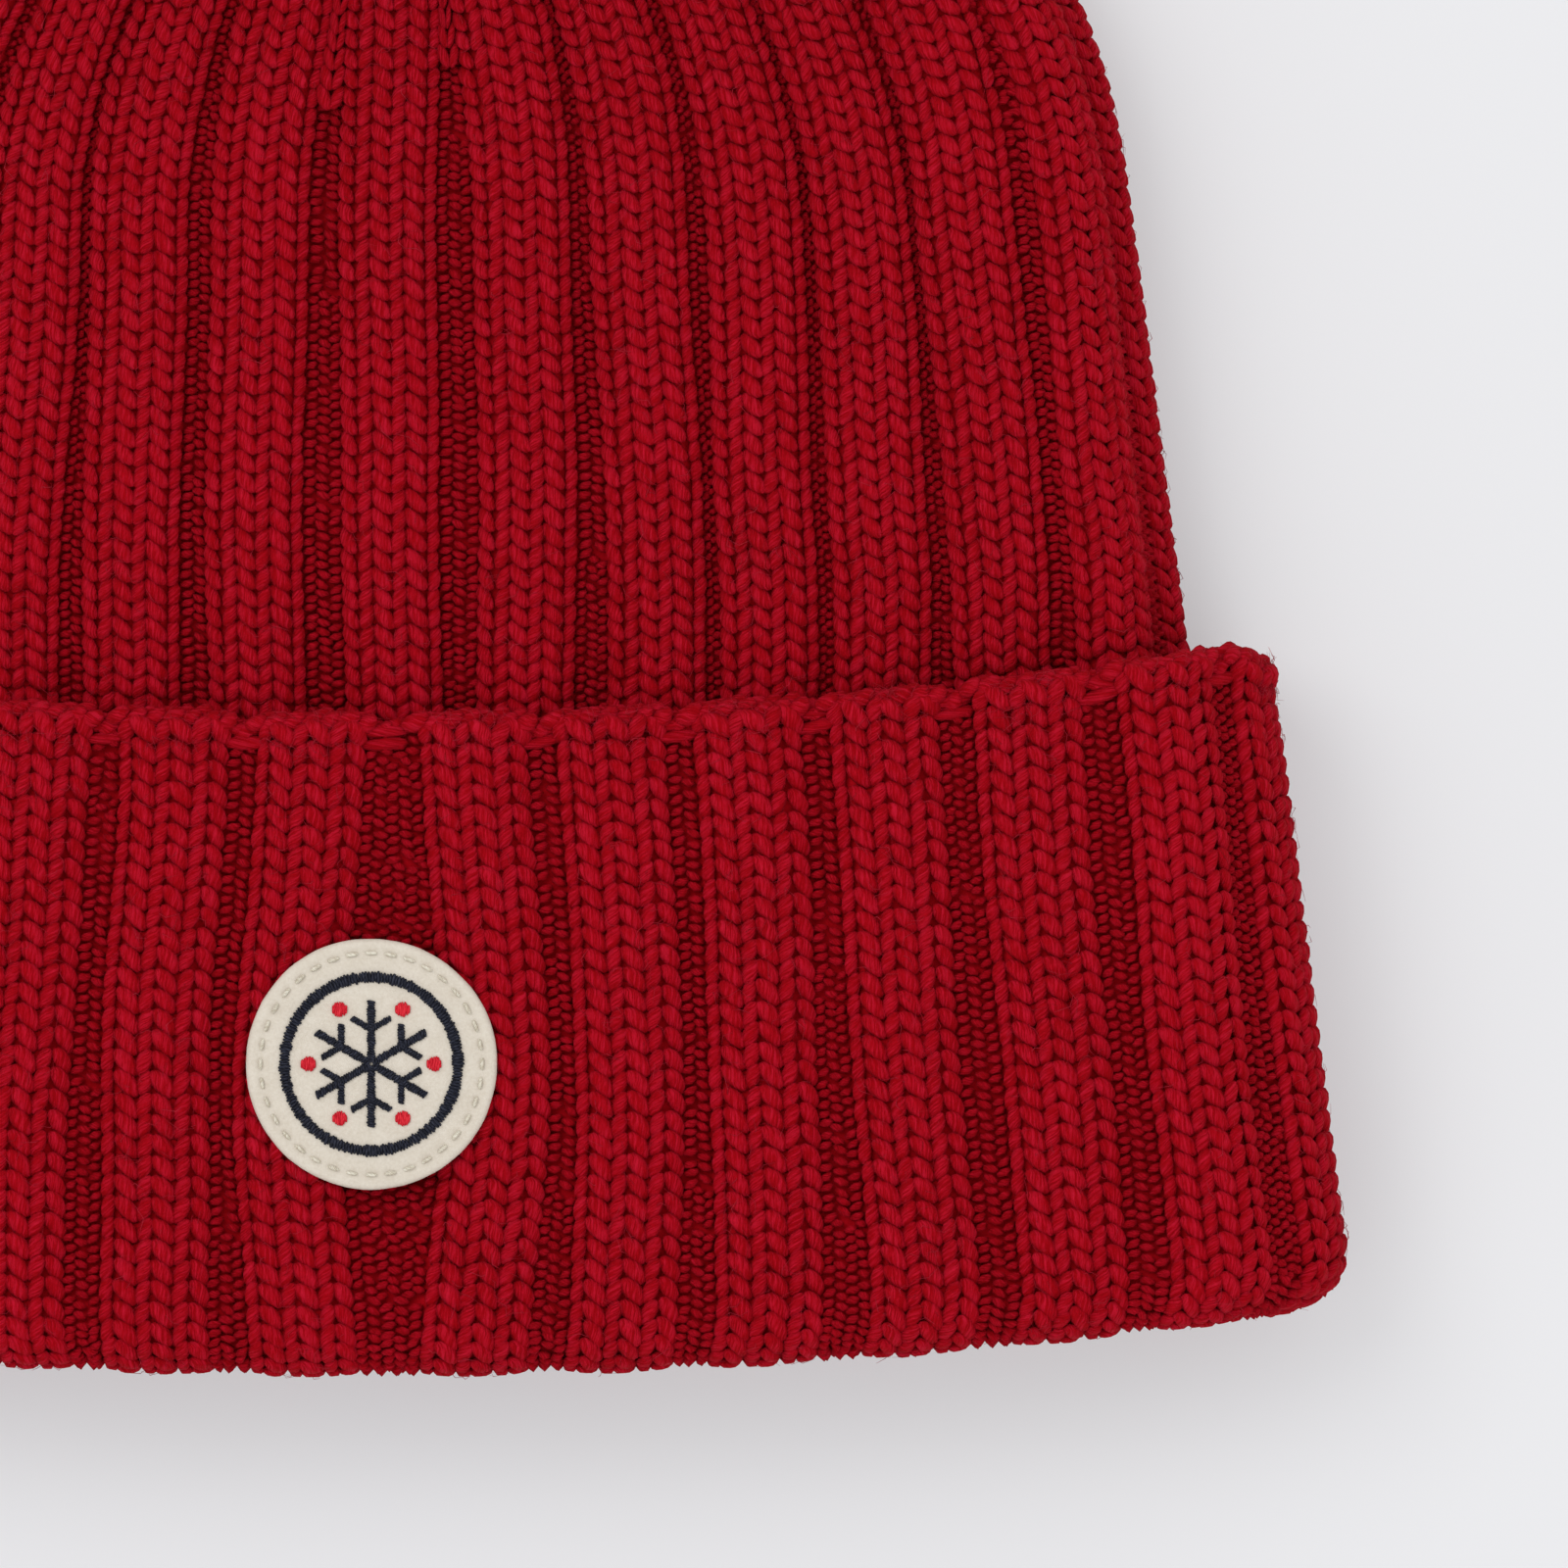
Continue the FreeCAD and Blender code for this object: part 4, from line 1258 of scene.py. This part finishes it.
@dataclass
class Shell:
    """The knitted shell: crown, cuff and cast-on edge.

    The edge is a last row of bigger stitches, rows of loops (the course of each row, how far it stands out
    and the loops' size), and two strands across each groove at courses of their own.
    """

    library: GrainLibrary
    palette: Palette
    crown: Crown = field(default_factory=lambda: Crown(Knit(fall=2.35, floor=2.9), SEED))
    cuff: Cuff = field(
        default_factory=lambda: Cuff(Knit(wale=4.6, row=2.65, floor=2.4, crowd=0.0), SEED + 1)
    )
    behind: float = 0.55
    wall: float = 5.2
    edge_row: float = 76.4
    edge_legs: tuple = ((Grain.LEFT_LEG, 1.12), (Grain.RIGHT_LEG, -1.12))
    edge_leg_size: tuple = (1.3, 1.05, 1.35)
    loop_rows: tuple = ((77.9, 0.6, 0.86), (78.0, 2.5, 0.95), (77.2, 4.2, 0.9))
    loop_step: float = 2.3
    loop_start: float = -7.0
    strand_rows: tuple = (75.2, 76.9)
    strand_lift: float = 0.9

    def build(self) -> None:
        """Makes the shell's pieces."""
        self.knit(self.crown, "crown", "crown_body", False)
        self.knit(self.cuff, "cuff", "turn_up_cuff", True)
        self.crown_ground()
        self.cuff_ground()
        self.cast_on_edge()
        self.fuzz()

    def knit(self, tube: KnitTube, name: str, node: str, turned: bool) -> None:
        """Makes the stitches of one tube as several pieces.

        Args:
            tube: where the stitches lie.
            name: start of the pieces' names.
            node: the CAD node that they stand for.
            turned: the cloth lies upside down.
        """
        quarter = tube.knit.ribs / 4

        def part(rib: float, groove: bool) -> str:
            """The piece that a rib or groove belongs to."""
            face = "front" if abs(rib) < quarter else "back"
            if groove:
                return f"{name}_{face}_grooves"
            return f"{name}_{face}_{'left' if rib < 0 else 'right'}_ribs"

        names = {part(rib, groove) for rib in tube.rib_numbers() for groove in (False, True)}
        clouds = {label: StitchCloud() for label in sorted(names)}
        tube.gather_ribs(clouds, turned, part)
        for number, (label, cloud) in enumerate(clouds.items()):
            # the grooves take the copy of the wool with painted shade
            finish = self.palette.shaded_wool if label.endswith("grooves") else self.palette.wool
            piece = cloud.build(label, self.library, finish, SEED + 7 * number)
            dress(piece, HAT, KNIT_RED, node)

    def fuzz(self) -> None:
        """Makes the loose fibres that stand out of the wool."""
        random = np.random.default_rng(SEED + 9)
        for tube, name, count, low, high in (
            (self.crown, "crown_fuzz", 4200, 84.0, self.crown.last - 2),
            (self.cuff, "cuff_fuzz", 3600, -14.0, 77.5),
            (self.cuff, "edge_fuzz", 1500, 74.0, 79.0),
        ):
            rib = random.choice(tube.rib_numbers(), count)
            course = random.uniform(low, high, count)
            pitch = tube.pitch(rib, course)
            aside = random.uniform(-0.42, 0.42, count) * np.minimum(pitch, 3 * tube.knit.wale)
            half = np.full(count, 1.5 * tube.knit.wale)
            places, across, along, out = tube.lay(rib, aside, half, course, lift=0.75)
            turn = random.uniform(0, TURN, count)
            heading = across * np.cos(turn)[:, None] + along * np.sin(turn)[:, None]
            heading = unit(heading + out * random.uniform(-0.1, 0.55, count)[:, None])
            side = unit(np.cross(heading, out))
            size = random.uniform(0.5, 1.2, (count, 3))
            cloud = StitchCloud()
            cloud.add(Grain.FIBRE, places, side, heading, np.cross(side, heading), size)
            piece = cloud.build(name, self.library, self.palette.loose, SEED + 8, 0.3, 0.2)
            dress(piece, HAT, KNIT_RED)

    def crown_ground(self) -> None:
        """Makes the closed cloth behind the crown's stitches."""
        crown = self.crown
        coarse, fine = np.arange(crown.base_start, 200, 4.0), np.arange(200, crown.top - 0.3, 1.6)
        courses = np.concatenate([coarse, fine])
        outer, under = crown.ground(courses, self.behind, self.wall)
        rows, columns = outer.shape[:2]
        tip = outer[-1].mean(axis=0) + np.array([0, 0.4, 0])
        inner_tip = under[-1].mean(axis=0) + np.array([0, -crown.tip_gap, 0])
        points = np.concatenate([outer.reshape(-1, 3), under.reshape(-1, 3), [tip, inner_tip]])
        start = rows * columns
        faces = grid_faces(rows, columns, True) + grid_faces(rows, columns, True, True, start)
        for column in range(columns):
            after = (column + 1) % columns
            last = (rows - 1) * columns
            faces.append((after, column, start + column, start + after))
            faces.append((last + column, last + after, len(points) - 2))
            faces.append((start + last + after, start + last + column, len(points) - 1))
        # its finish is painted lighter than the wool, to lighten the shaded gaps between the stitches
        piece = mesh_from("crown_ground", points, faces, finish=self.palette.ground)
        dress(piece, HAT, KNIT_RED, "crown_body")

    def cuff_ground(self) -> None:
        """Makes the closed cloth behind the cuff's stitches, folded at the mouth."""
        cuff = self.cuff
        fold = np.linspace(0, cuff.turn_end, 9)
        courses = np.concatenate([np.arange(77.0, 2, -4.0), fold, cuff.turn_end - np.arange(3, 62, 4.5)])
        outer, under = cuff.ground(courses, self.behind, self.wall - 0.5)
        rows, columns = outer.shape[:2]
        points = np.concatenate([outer.reshape(-1, 3), under.reshape(-1, 3)])
        start = rows * columns
        faces = grid_faces(rows, columns, True, True) + grid_faces(rows, columns, True, False, start)
        last = (rows - 1) * columns
        for column in range(columns):
            after = (column + 1) % columns
            faces.append((column, after, start + after, start + column))
            faces.append((last + after, last + column, start + last + column, start + last + after))
        # its finish is painted lighter than the wool, to lighten the shaded gaps between the stitches
        piece = mesh_from("cuff_ground", points, faces, finish=self.palette.ground)
        dress(piece, HAT, KNIT_RED, "turn_up_cuff")

    def cast_on_edge(self) -> None:
        """Makes the last row of stitches, the edge's loops and the strands that cross each groove."""
        cuff, cloud = self.cuff, StitchCloud()
        random = np.random.default_rng(SEED + 3)
        wale = cuff.knit.wale
        half = np.full(1, 1.5 * wale)
        for rib in cuff.rib_numbers():
            number = np.full(1, rib)
            for column in (-1, 0, 1):
                for kind, offset in self.edge_legs:
                    course = np.array([self.edge_row + random.uniform(-0.25, 0.25)])
                    aside = np.array([column * wale + offset + random.uniform(-0.15, 0.15)])
                    places, across, along, out = cuff.lay(number, aside, half, course, lift=0.35)
                    cloud.add(kind, places, -across, -along, out, np.array([self.edge_leg_size]))
            pitch = float(cuff.pitch(number, np.array([76.0]))[0])
            for level, (course, back, grow) in enumerate(self.loop_rows):
                steps = np.arange(self.loop_start, pitch + self.loop_start, self.loop_step)
                steps = steps + 1.1 * (level % 2)
                count = len(steps)
                gap = smooth_step(steps, 6.4, 8.0)
                run = course + random.uniform(-0.3, 0.3, count) - 1.1 * gap
                flat = np.full(count, 50.0)
                places, across, along, out = cuff.lay(np.full(count, rib), steps, flat, run, lift=-back)
                places = places - out * (1.0 * gap * (level == 0))[:, None]
                size = np.stack([grow - 0.2 * gap, grow + 0 * gap, grow - 0.1 * gap], axis=-1)
                cloud.add(Grain.EDGE_ROLL, places, -across, -along, out, size)
            groove = pitch - 3 * wale
            aside = np.full(2, 1.5 * wale + groove / 2)
            ribs, halves = np.full(2, rib), np.full(2, 1.5 * wale)
            rows = np.array(self.strand_rows)
            places, across, along, out = cuff.lay(ribs, aside, halves, rows, lift=self.strand_lift)
            size = np.tile([(groove + 2.6) / 3.9, 0.6, 0.6], (2, 1))
            cloud.add(Grain.EDGE_ROLL, places, -across, -along, out, size)
        piece = cloud.build("cast_on_edge_loops", self.library, self.palette.wool, SEED + 5, 0.16, 0.12)
        dress(piece, HAT, KNIT_RED, "cast_on_edge")


def dress(piece: bpy.types.Object, body: str, slot: str, *nodes: str) -> None:
    """Makes a piece ride on a body and stand for CAD nodes, whose own parts it hides."""
    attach(piece, body)
    if nodes:
        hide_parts(*nodes)
    triangles = sum(len(face.vertices) - 2 for face in piece.data.polygons)
    LOG.info("%s rides on %s, %d triangles", piece.name, body, triangles)


@dataclass
class Patch:
    """The round felt patch on the cuff, with its embroidery and running stitches."""

    library: GrainLibrary
    palette: Palette
    ring: float = 11.8
    ring_wide: float = 1.5
    ring_step: float = 0.38
    line_step: float = 0.34
    dot_step: float = 0.26
    arm: float = 8.2
    arm_wide: float = 1.15
    twig_start: float = 4.4
    twig: float = 2.8
    dot: float = 0.9
    dot_ring: float = 8.0
    stitch_ring: float = 14.1
    stitch: float = 1.6
    stitches: int = 36
    rim: float = 15.0
    steps: int = 96

    def __post_init__(self) -> None:
        """Reads the patch's place and size from its node."""
        low, high = corners("patch_felt")
        self.middle = (low + high) / 2
        self.radius = float(high[0] - low[0]) / 2
        self.under, self.top = float(low[2]), float(high[2])

    def build(self) -> None:
        """Makes the felt and its threads."""
        felt = self.felt()
        library, palette = self.library, self.palette
        ring_cloud, flake_cloud, dot_cloud, seam_cloud = (StitchCloud() for _ in range(4))
        self.ring_thread(ring_cloud)
        for turn in range(6):
            self.flake_arm(flake_cloud, math.radians(30 + 60 * turn))
            self.dot_thread(dot_cloud, math.radians(60 * turn))
        angles = TURN * np.arange(self.stitches) / self.stitches
        self.threads(
            seam_cloud, circle(self.stitch_ring, angles), angles + math.pi / 2, self.stitch, 0.5, 0.02
        )
        ring = ring_cloud.build("patch_ring_thread", library, palette.navy, SEED + 31, 0.09, 0.17)
        dress(ring, HAT, "thread_navy", "patch_ring")
        star = flake_cloud.build("patch_snowflake_thread", library, palette.navy, SEED + 32, 0.08, 0.13)
        dress(star, HAT, "thread_navy", "patch_snowflake")
        dots = dot_cloud.build("patch_dot_thread", library, palette.red_thread, SEED + 33, 0.08, 0.1)
        dress(dots, HAT, "thread_red", "patch_dots")
        seam = seam_cloud.build("patch_running_thread", library, palette.cream_thread, SEED + 34, 0.04, 0.08)
        dress(seam, HAT, "thread_cream", "patch_stitches")

    def felt(self) -> bpy.types.Object:
        """Makes the felt disc, soft at its rim and drawn in a little by its stitches."""
        radius, top, under = self.radius, self.top, self.under
        rings = [(0.0, top), (3.0, top), (6.0, top), (9.0, top), (11.0, top), (12.6, top - 0.02)]
        rings += [(13.6, top - 0.10), (self.stitch_ring, top - 0.2), (14.6, top - 0.10), (15.2, top - 0.04)]
        rings += [(radius - 0.4, top - 0.12), (radius - 0.1, top - 0.4), (radius, top - 0.8)]
        rings += [(radius, under + 0.2), (radius - 0.2, under), (8.0, under), (0.0, under)]
        random = np.random.default_rng(SEED + 30)
        wave = 0.12 * random.standard_normal(self.steps)
        wave = np.convolve(np.tile(wave, 3), np.ones(7) / 7, "same")[self.steps : 2 * self.steps]
        angles = TURN * np.arange(self.steps) / self.steps
        points = [(self.middle[0], self.middle[1], top)]
        for distance, height in rings[1:-1]:
            for reach, angle in zip(distance + wave * (distance > self.rim), angles):
                x = self.middle[0] + reach * math.cos(angle)
                y = self.middle[1] + reach * math.sin(angle)
                points.append((x, y, height))
        points.append((self.middle[0], self.middle[1], under))
        faces = round_solid_faces(len(rings) - 2, self.steps, True)
        piece = mesh_from("patch_felt_disc", np.array(points), faces, finish=self.palette.felt)
        dress(piece, HAT, "felt_cream", "patch_felt")
        return piece

    def threads(
        self,
        cloud: StitchCloud,
        places: np.ndarray,
        angles: np.ndarray,
        long: object,
        wide: float,
        lift: float,
    ) -> None:
        """Adds stitches that lie on the felt.

        Args:
            cloud: where they go.
            places: their middles from the patch's middle.
            angles: the direction of each one.
            long: their length, one number or one for each.
            wide: their width.
            lift: height of their middles over the felt.
        """
        count = len(places)
        centre = np.array([self.middle[0], self.middle[1], self.top + lift])
        along = np.stack([np.cos(angles), np.sin(angles), 0 * angles], axis=-1)
        out = np.tile([0.0, 0.0, 1.0], (count, 1))
        across = np.cross(along, out)
        size = np.stack([np.full(count, wide), np.broadcast_to(long, count), np.full(count, wide)], axis=-1)
        cloud.add(Grain.THREAD, centre + places, across, along, out, size)

    def ring_thread(self, cloud: StitchCloud) -> None:
        """Adds the satin stitches of the ring, which lie across it."""
        middle = self.ring - self.ring_wide / 2
        count = int(TURN * middle / self.ring_step)
        angles = TURN * np.arange(count) / count
        self.threads(cloud, circle(middle, angles), angles + 0.12, self.ring_wide, 0.44, 0.16)

    def flake_arm(self, cloud: StitchCloud, turn: float) -> None:
        """Adds one arm of the snowflake with its two twigs, in satin stitches across each line."""
        self.satin_line(cloud, turn, 0.4, self.arm, self.arm_wide, 0.0)
        for side in (-1, 1):
            self.satin_line(cloud, turn, 0.0, self.twig, self.arm_wide * 0.82, side * math.radians(60))

    def satin_line(
        self, cloud: StitchCloud, turn: float, start: float, end: float, wide: float, lean: float
    ) -> None:
        """Adds satin stitches across a line that leans away from an arm."""
        steps = np.arange(start, end, self.line_step)
        root = self.twig_start if lean else 0.0
        angle = turn + lean
        x = root * math.cos(turn) + steps * math.cos(angle)
        y = root * math.sin(turn) + steps * math.sin(angle)
        places = np.stack([x, y, 0 * x], axis=-1)
        across = np.full(len(steps), angle + math.pi / 2 - 0.25)
        self.threads(cloud, places, across, wide, 0.40, 0.14 + 0.03 * (lean == 0))

    def dot_thread(self, cloud: StitchCloud, turn: float) -> None:
        """Adds one dot of parallel stitches."""
        steps = np.arange(-self.dot + 0.12, self.dot, self.dot_step)
        long = 2 * np.sqrt(self.dot**2 - steps**2) + 0.2
        level = np.zeros(len(steps))
        x = self.dot_ring * math.cos(turn) + steps
        y = self.dot_ring * math.sin(turn) + level
        self.threads(cloud, np.stack([x, y, level], axis=-1), level + math.pi / 2, long, 0.38, 0.15)


@dataclass
class PomPom:
    """The yarn ball: cut tufts that fan out of a tight middle.

    The tufts' middles lie a little under the ball's surface, at uneven depths and deeper in some clumps, and
    each tuft leans a little its own way. The lowest ones give way to what the ball lies on.
    """

    library: GrainLibrary
    palette: Palette
    tufts: int = 2900
    core: float = 29.0
    under: float = 7.9
    uneven: float = 2.6
    clumping: float = 1.3
    scatter: float = 0.035
    lean: float = 0.13
    lying: float = 1.6

    def build(self) -> None:
        """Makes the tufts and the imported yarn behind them."""
        low, high = corners("pompom_ball")
        middle, radius = (low + high) / 2, (high - low) / 2
        random = np.random.default_rng(SEED + 40)
        number = np.arange(self.tufts)
        height = 1 - 2 * (number + 0.5) / self.tufts
        angle = number * math.pi * (3 - math.sqrt(5))
        level = np.sqrt(1 - height**2)
        out = np.stack([level * np.cos(angle), level * np.sin(angle), height], axis=-1)
        out = unit(out + random.normal(0, self.scatter, out.shape))
        clumps = 0.5 + 0.5 * np.sin(7 * out[:, 0] + 2) * np.sin(6 * out[:, 1] + 1) * np.sin(8 * out[:, 2])
        length = radius[0] - self.under - self.uneven * random.random(self.tufts) ** 2
        length = length - self.clumping * clumps
        lean = unit(out + random.normal(0, self.lean, out.shape))
        side = unit(np.cross(lean, random.normal(0, 1, out.shape)))
        places = middle + out * length[:, None]
        places[:, 2] = np.maximum(places[:, 2], low[2] + self.lying + 7 * np.abs(lean[:, 2]))
        cloud = StitchCloud()
        size = random.uniform(0.85, 1.15, (self.tufts, 3))
        cloud.add(Grain.TUFT, places, side, lean, np.cross(side, lean), size)
        ball = cloud.build("pompom_tufts", self.library, self.palette.wool, SEED + 41, 0.05, 0.05)
        dress(ball, POMPOM, POMPOM_YARN, "pompom_ball")
        self.packed(middle)

    def packed(self, middle: np.ndarray) -> None:
        """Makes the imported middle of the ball, which shows between its tufts."""
        rings, sides = 14, 28
        points = [middle + np.array([0, 0, -self.core])]
        for ring in range(1, rings):
            slope = math.pi * ring / rings
            for side in range(sides):
                angle = TURN * side / sides
                level = math.sin(slope) * self.core
                offset = (level * math.cos(angle), level * math.sin(angle), -math.cos(slope) * self.core)
                points.append(middle + np.array(offset))
        points.append(middle + np.array([0, 0, self.core]))
        faces = round_solid_faces(rings - 1, sides, False)
        # its finish is painted lighter than the wool, to lighten the shaded gaps between the tufts
        piece = mesh_from("pompom_packed_yarn", np.array(points), faces, finish=self.palette.ground)
        dress(piece, POMPOM, POMPOM_YARN, "pompom_ball")


def yarn_strand(
    name: str,
    path: np.ndarray,
    radius: float,
    finish: YarnFinish,
    lay: float = 6.0,
) -> bpy.types.Object:
    """Makes a strand of two-ply yarn along a path.

    Args:
        name: the object's name.
        path: points of its middle line, in millimetres.
        radius: radius of the whole strand.
        finish: its finish.
        lay: length of one turn of a ply.

    Returns:
        The strand as one closed object.
    """
    count, sides = len(path), 8
    tangent = unit(np.gradient(path, axis=0))
    steps = np.linalg.norm(np.diff(path, axis=0), axis=1)
    run = np.concatenate([[0], np.cumsum(steps)])
    turns = max(1, round(run[-1] / lay))
    guide = unit(np.cross(tangent, np.array([0.13, 0.27, 0.95])))
    other = np.cross(tangent, guide)
    own = 0.62 * radius
    points, faces, uvs = [], [], []
    for ply in (0, 1):
        start = len(points)
        angle = TURN * (ply / 2 + turns * run / run[-1])
        middle = path + (guide * np.cos(angle)[:, None] + other * np.sin(angle)[:, None]) * (radius - own)
        for step in range(count):
            for side in range(sides):
                turn = TURN * side / sides
                outwards = guide[step] * math.cos(turn) + other[step] * math.sin(turn)
                points.append(middle[step] + outwards * own)
        for step in range(count - 1):
            low, high = start + step * sides, start + (step + 1) * sides
            begin, end = run[step] / 3, (run[step] + steps.mean()) / 3
            for side in range(sides):
                after = (side + 1) % sides
                left, right = side / sides, (side + 1) / sides
                faces.append((low + after, high + after, high + side, low + side))
                uvs += [(right, begin), (right, end), (left, end), (left, begin)]
        faces.append(tuple(start + side for side in range(sides))[::-1])
        faces.append(tuple(start + (count - 1) * sides + side for side in range(sides)))
        uvs += [(0.0, 0.0)] * (2 * sides)
    return mesh_from(name, np.array(points), faces, uvs, finish)


@dataclass
class Trims:
    """What holds the pom pom, and the blank care label inside."""

    library: GrainLibrary
    palette: Palette
    loops: int = 18
    loop_ring: float = 5.3
    tie_axis: tuple = (0.0, 0.84419, 0.53608)
    binding_reach: float = 6.0

    def build(self) -> None:
        """Dresses the small parts."""
        self.gather()
        self.tether()
        self.binding()
        self.label()
        self.keep_nodes()

    def gather(self) -> None:
        """Makes the gathering yarn, drawn through the last loops of the crown."""
        low, high = corners("crown_gather_yarn")
        middle, reach = (low + high) / 2, float(high[0]) - 1.4
        turns = np.linspace(0, 2 * TURN, 90)
        reach = reach + 0.35 * np.sin(7.5 * turns)
        level = np.linspace(-1.1, 0.5, 90)
        path = np.stack([reach * np.cos(turns), level, reach * np.sin(turns)], axis=-1)
        strand = yarn_strand("gather_strand", middle + path, 1.0, self.palette.wool, lay=5.0)
        dress(strand, HAT, TIE_YARN, "crown_gather_yarn")
        angles = TURN * np.arange(self.loops) / self.loops
        out = np.stack([np.cos(angles), 0 * angles, np.sin(angles)], axis=-1)
        ahead = np.array([0.0, 1.0, 0.0])
        along = unit(ahead - 0.55 * out)
        face = unit(out + 0.55 * ahead)
        cloud = StitchCloud()
        places = middle + self.loop_ring * out - 2.2 * ahead
        cloud.add(Grain.RIGHT_LEG, places, np.cross(along, face), along, face, np.ones((self.loops, 3)))
        loops = cloud.build("gather_loops", self.library, self.palette.wool, SEED + 51, 0.2, 0.1)
        dress(loops, HAT, TIE_YARN, "crown_gather_yarn")

    def tether(self) -> None:
        """Makes the plied tie between the crown and the pom pom."""
        low, high = corners("tether_shank")
        start = np.array([0.0, low[1] + 0.6, low[2] + 1.0])
        end = np.array([0.0, high[1] - 0.6, high[2] - 1.0])
        path = np.linspace(start, end, 40)
        strand = yarn_strand("tie_strand", path, 1.7, self.palette.wool)
        dress(strand, TIE, TIE_YARN, "tether_shank")

    def binding(self) -> None:
        """Makes the turns of yarn that bind the tufts."""
        low, high = corners("pompom_binding")
        middle = (low + high) / 2
        axis = unit(np.array(self.tie_axis))
        side = np.array([1.0, 0.0, 0.0])
        other = np.cross(axis, side)
        turns = np.linspace(0, 3 * TURN, 150)
        winding = side * np.cos(turns)[:, None] + other * np.sin(turns)[:, None]
        path = middle + self.binding_reach * winding
        path = path + axis * np.linspace(-1.0, 1.0, 150)[:, None]
        strand = yarn_strand("binding_strand", path, 0.8, self.palette.wool, lay=4.0)
        dress(strand, POMPOM, TIE_YARN, "pompom_binding")

    def label(self) -> None:
        """Makes the blank ribbon label, with a gentle wave."""
        low, high = corners("care_label")
        rows, columns = 24, 14
        thick = float(high[2] - low[2])
        points = []
        for face in (0, 1):
            for row in range(rows):
                share = row / (rows - 1)
                for column in range(columns):
                    across = column / (columns - 1)
                    x = low[0] + (high[0] - low[0]) * across
                    y = low[1] + (high[1] - low[1]) * share
                    lift = 0.35 * math.sin(math.pi * share) * math.sin(math.pi * across)
                    z = low[2] + thick * face + lift
                    points.append((x, y, z))
        start = rows * columns
        faces = grid_faces(rows, columns, False, True) + grid_faces(rows, columns, False, False, start)
        rim = list(range(columns))
        rim += [row * columns + columns - 1 for row in range(1, rows)]
        rim += [(rows - 1) * columns + column for column in range(columns - 2, -1, -1)]
        rim += [row * columns for row in range(rows - 2, 0, -1)]
        for spot, after in zip(rim, rim[1:] + rim[:1]):
            faces.append((spot, after, start + after, start + spot))
        piece = mesh_from("care_label_ribbon", np.array(points), faces, finish=self.palette.ribbon)
        dress(piece, LABEL, "label_satin", "care_label")

    def keep_nodes(self) -> None:
        """Gives the kept CAD nodes their finishes."""
        finishes = {
            "back_seam": self.palette.ground,
            "tie_knot": self.palette.tie,
            "tether_bead": self.palette.tie,
            "care_label_stitches": self.palette.ribbon,
        }
        for node, finish in finishes.items():
            piece = frame["nodes"][node]
            piece.data.materials.clear()
            piece.data.materials.append(finish.build())


# ---------------------------------------------------------------- the studio


@dataclass
class Studio:
    """A pale floor, a soft key light from the upper left, and a camera straight above."""

    view: float = 200.0
    aside: float = 52.5
    ahead: float = 75.6
    away: float = 1600.0
    aim_height: float = 33.0
    sensor: float = 36.0
    floor_reach: float = 4000.0
    lights: tuple = (("key", (-0.7, 0.55, 1.5), 1.0, 9.5), ("fill", (1.1, -0.9, 1.4), 1.6, 4.0))
    lights_aim: tuple = (0.0, -0.05, 0.02)

    def build(self) -> None:
        """Makes the floor, the light and the camera."""
        bpy.context.scene.view_settings.view_transform = "Standard"
        self.floor()
        self.world()
        for name, place, size, power in self.lights:
            self.light(name, place, size, power)
        self.camera()

    def floor(self) -> None:
        """Makes the floor."""
        corners = ((-1, -1, 0), (1, -1, 0), (1, 1, 0), (-1, 1, 0))
        points = self.floor_reach * np.array(corners, float)
        floor = mesh_from("floor", points, [(0, 1, 2, 3)])
        material, build, surface = new_material("Pale floor")
        looks = {
            "Base Color": (0.475, 0.475, 0.482, 1),
            "Emission Color": (0.97, 0.97, 0.985, 1),
            "Emission Strength": 0.31,
            "Roughness": 0.75,
            "Specular IOR Level": 0.1,
        }
        build.fill(surface, looks)
        floor.data.materials.append(material)

    def world(self) -> None:
        """Sets an even, pale surround."""
        world = bpy.data.worlds.new("Studio")
        world.use_nodes = True
        build = ShaderBuilder(world.node_tree)
        seen = build.node("ShaderNodeLightPath").outputs["Is Camera Ray"]
        colour = build.mix(seen, (0.92, 0.93, 0.95, 1), (0.76, 0.765, 0.78, 1))
        build.fill(world.node_tree.nodes["Background"], {"Color": colour, "Strength": 0.95})
        bpy.context.scene.world = world

    def light(self, name: str, place: tuple, size: float, power: float) -> None:
        """Makes a square light that points at the hat.

        Args:
            name: the light's name.
            place: where it hangs, in metres.
            size: length of its side, in metres.
            power: its power in watts.
        """
        lamp = bpy.data.lights.new(name, "AREA")
        lamp.size, lamp.energy = size, power
        made = bpy.data.objects.new(name, lamp)
        made.location = place
        aim = np.array(self.lights_aim) - np.array(place)
        flat = math.hypot(aim[0], aim[1])
        made.rotation_euler = (math.atan2(flat, -aim[2]), 0, math.atan2(-aim[0], aim[1]))
        bpy.context.scene.collection.objects.link(made)

    def camera(self) -> None:
        """Sets the camera over the cuff, with its own up along the hat."""
        lens = bpy.data.cameras.new("camera")
        lens.type = "PERSP"
        lens.sensor_width = self.sensor
        lens.lens = self.sensor * self.away / self.view
        lens.clip_end = 20
        made = bpy.data.objects.new("camera", lens)
        fold = float(corners("turn_up_cuff")[0][1])
        place = np.array([self.aside, fold + self.ahead, self.aim_height + self.away]) * MM
        made.location = place.tolist()
        bpy.context.scene.collection.objects.link(made)
        bpy.context.scene.camera = made


def main() -> None:
    """Builds the hat, then the studio round it."""
    logging.basicConfig(level=logging.INFO, format="%(name)s: %(message)s")
    library, palette = GrainLibrary(), Palette()
    Shell(library, palette).build()
    Patch(library, palette).build()
    PomPom(library, palette).build()
    Trims(library, palette).build()
    library.clear()
    Studio().build()


if __name__ == "__main__":
    main()
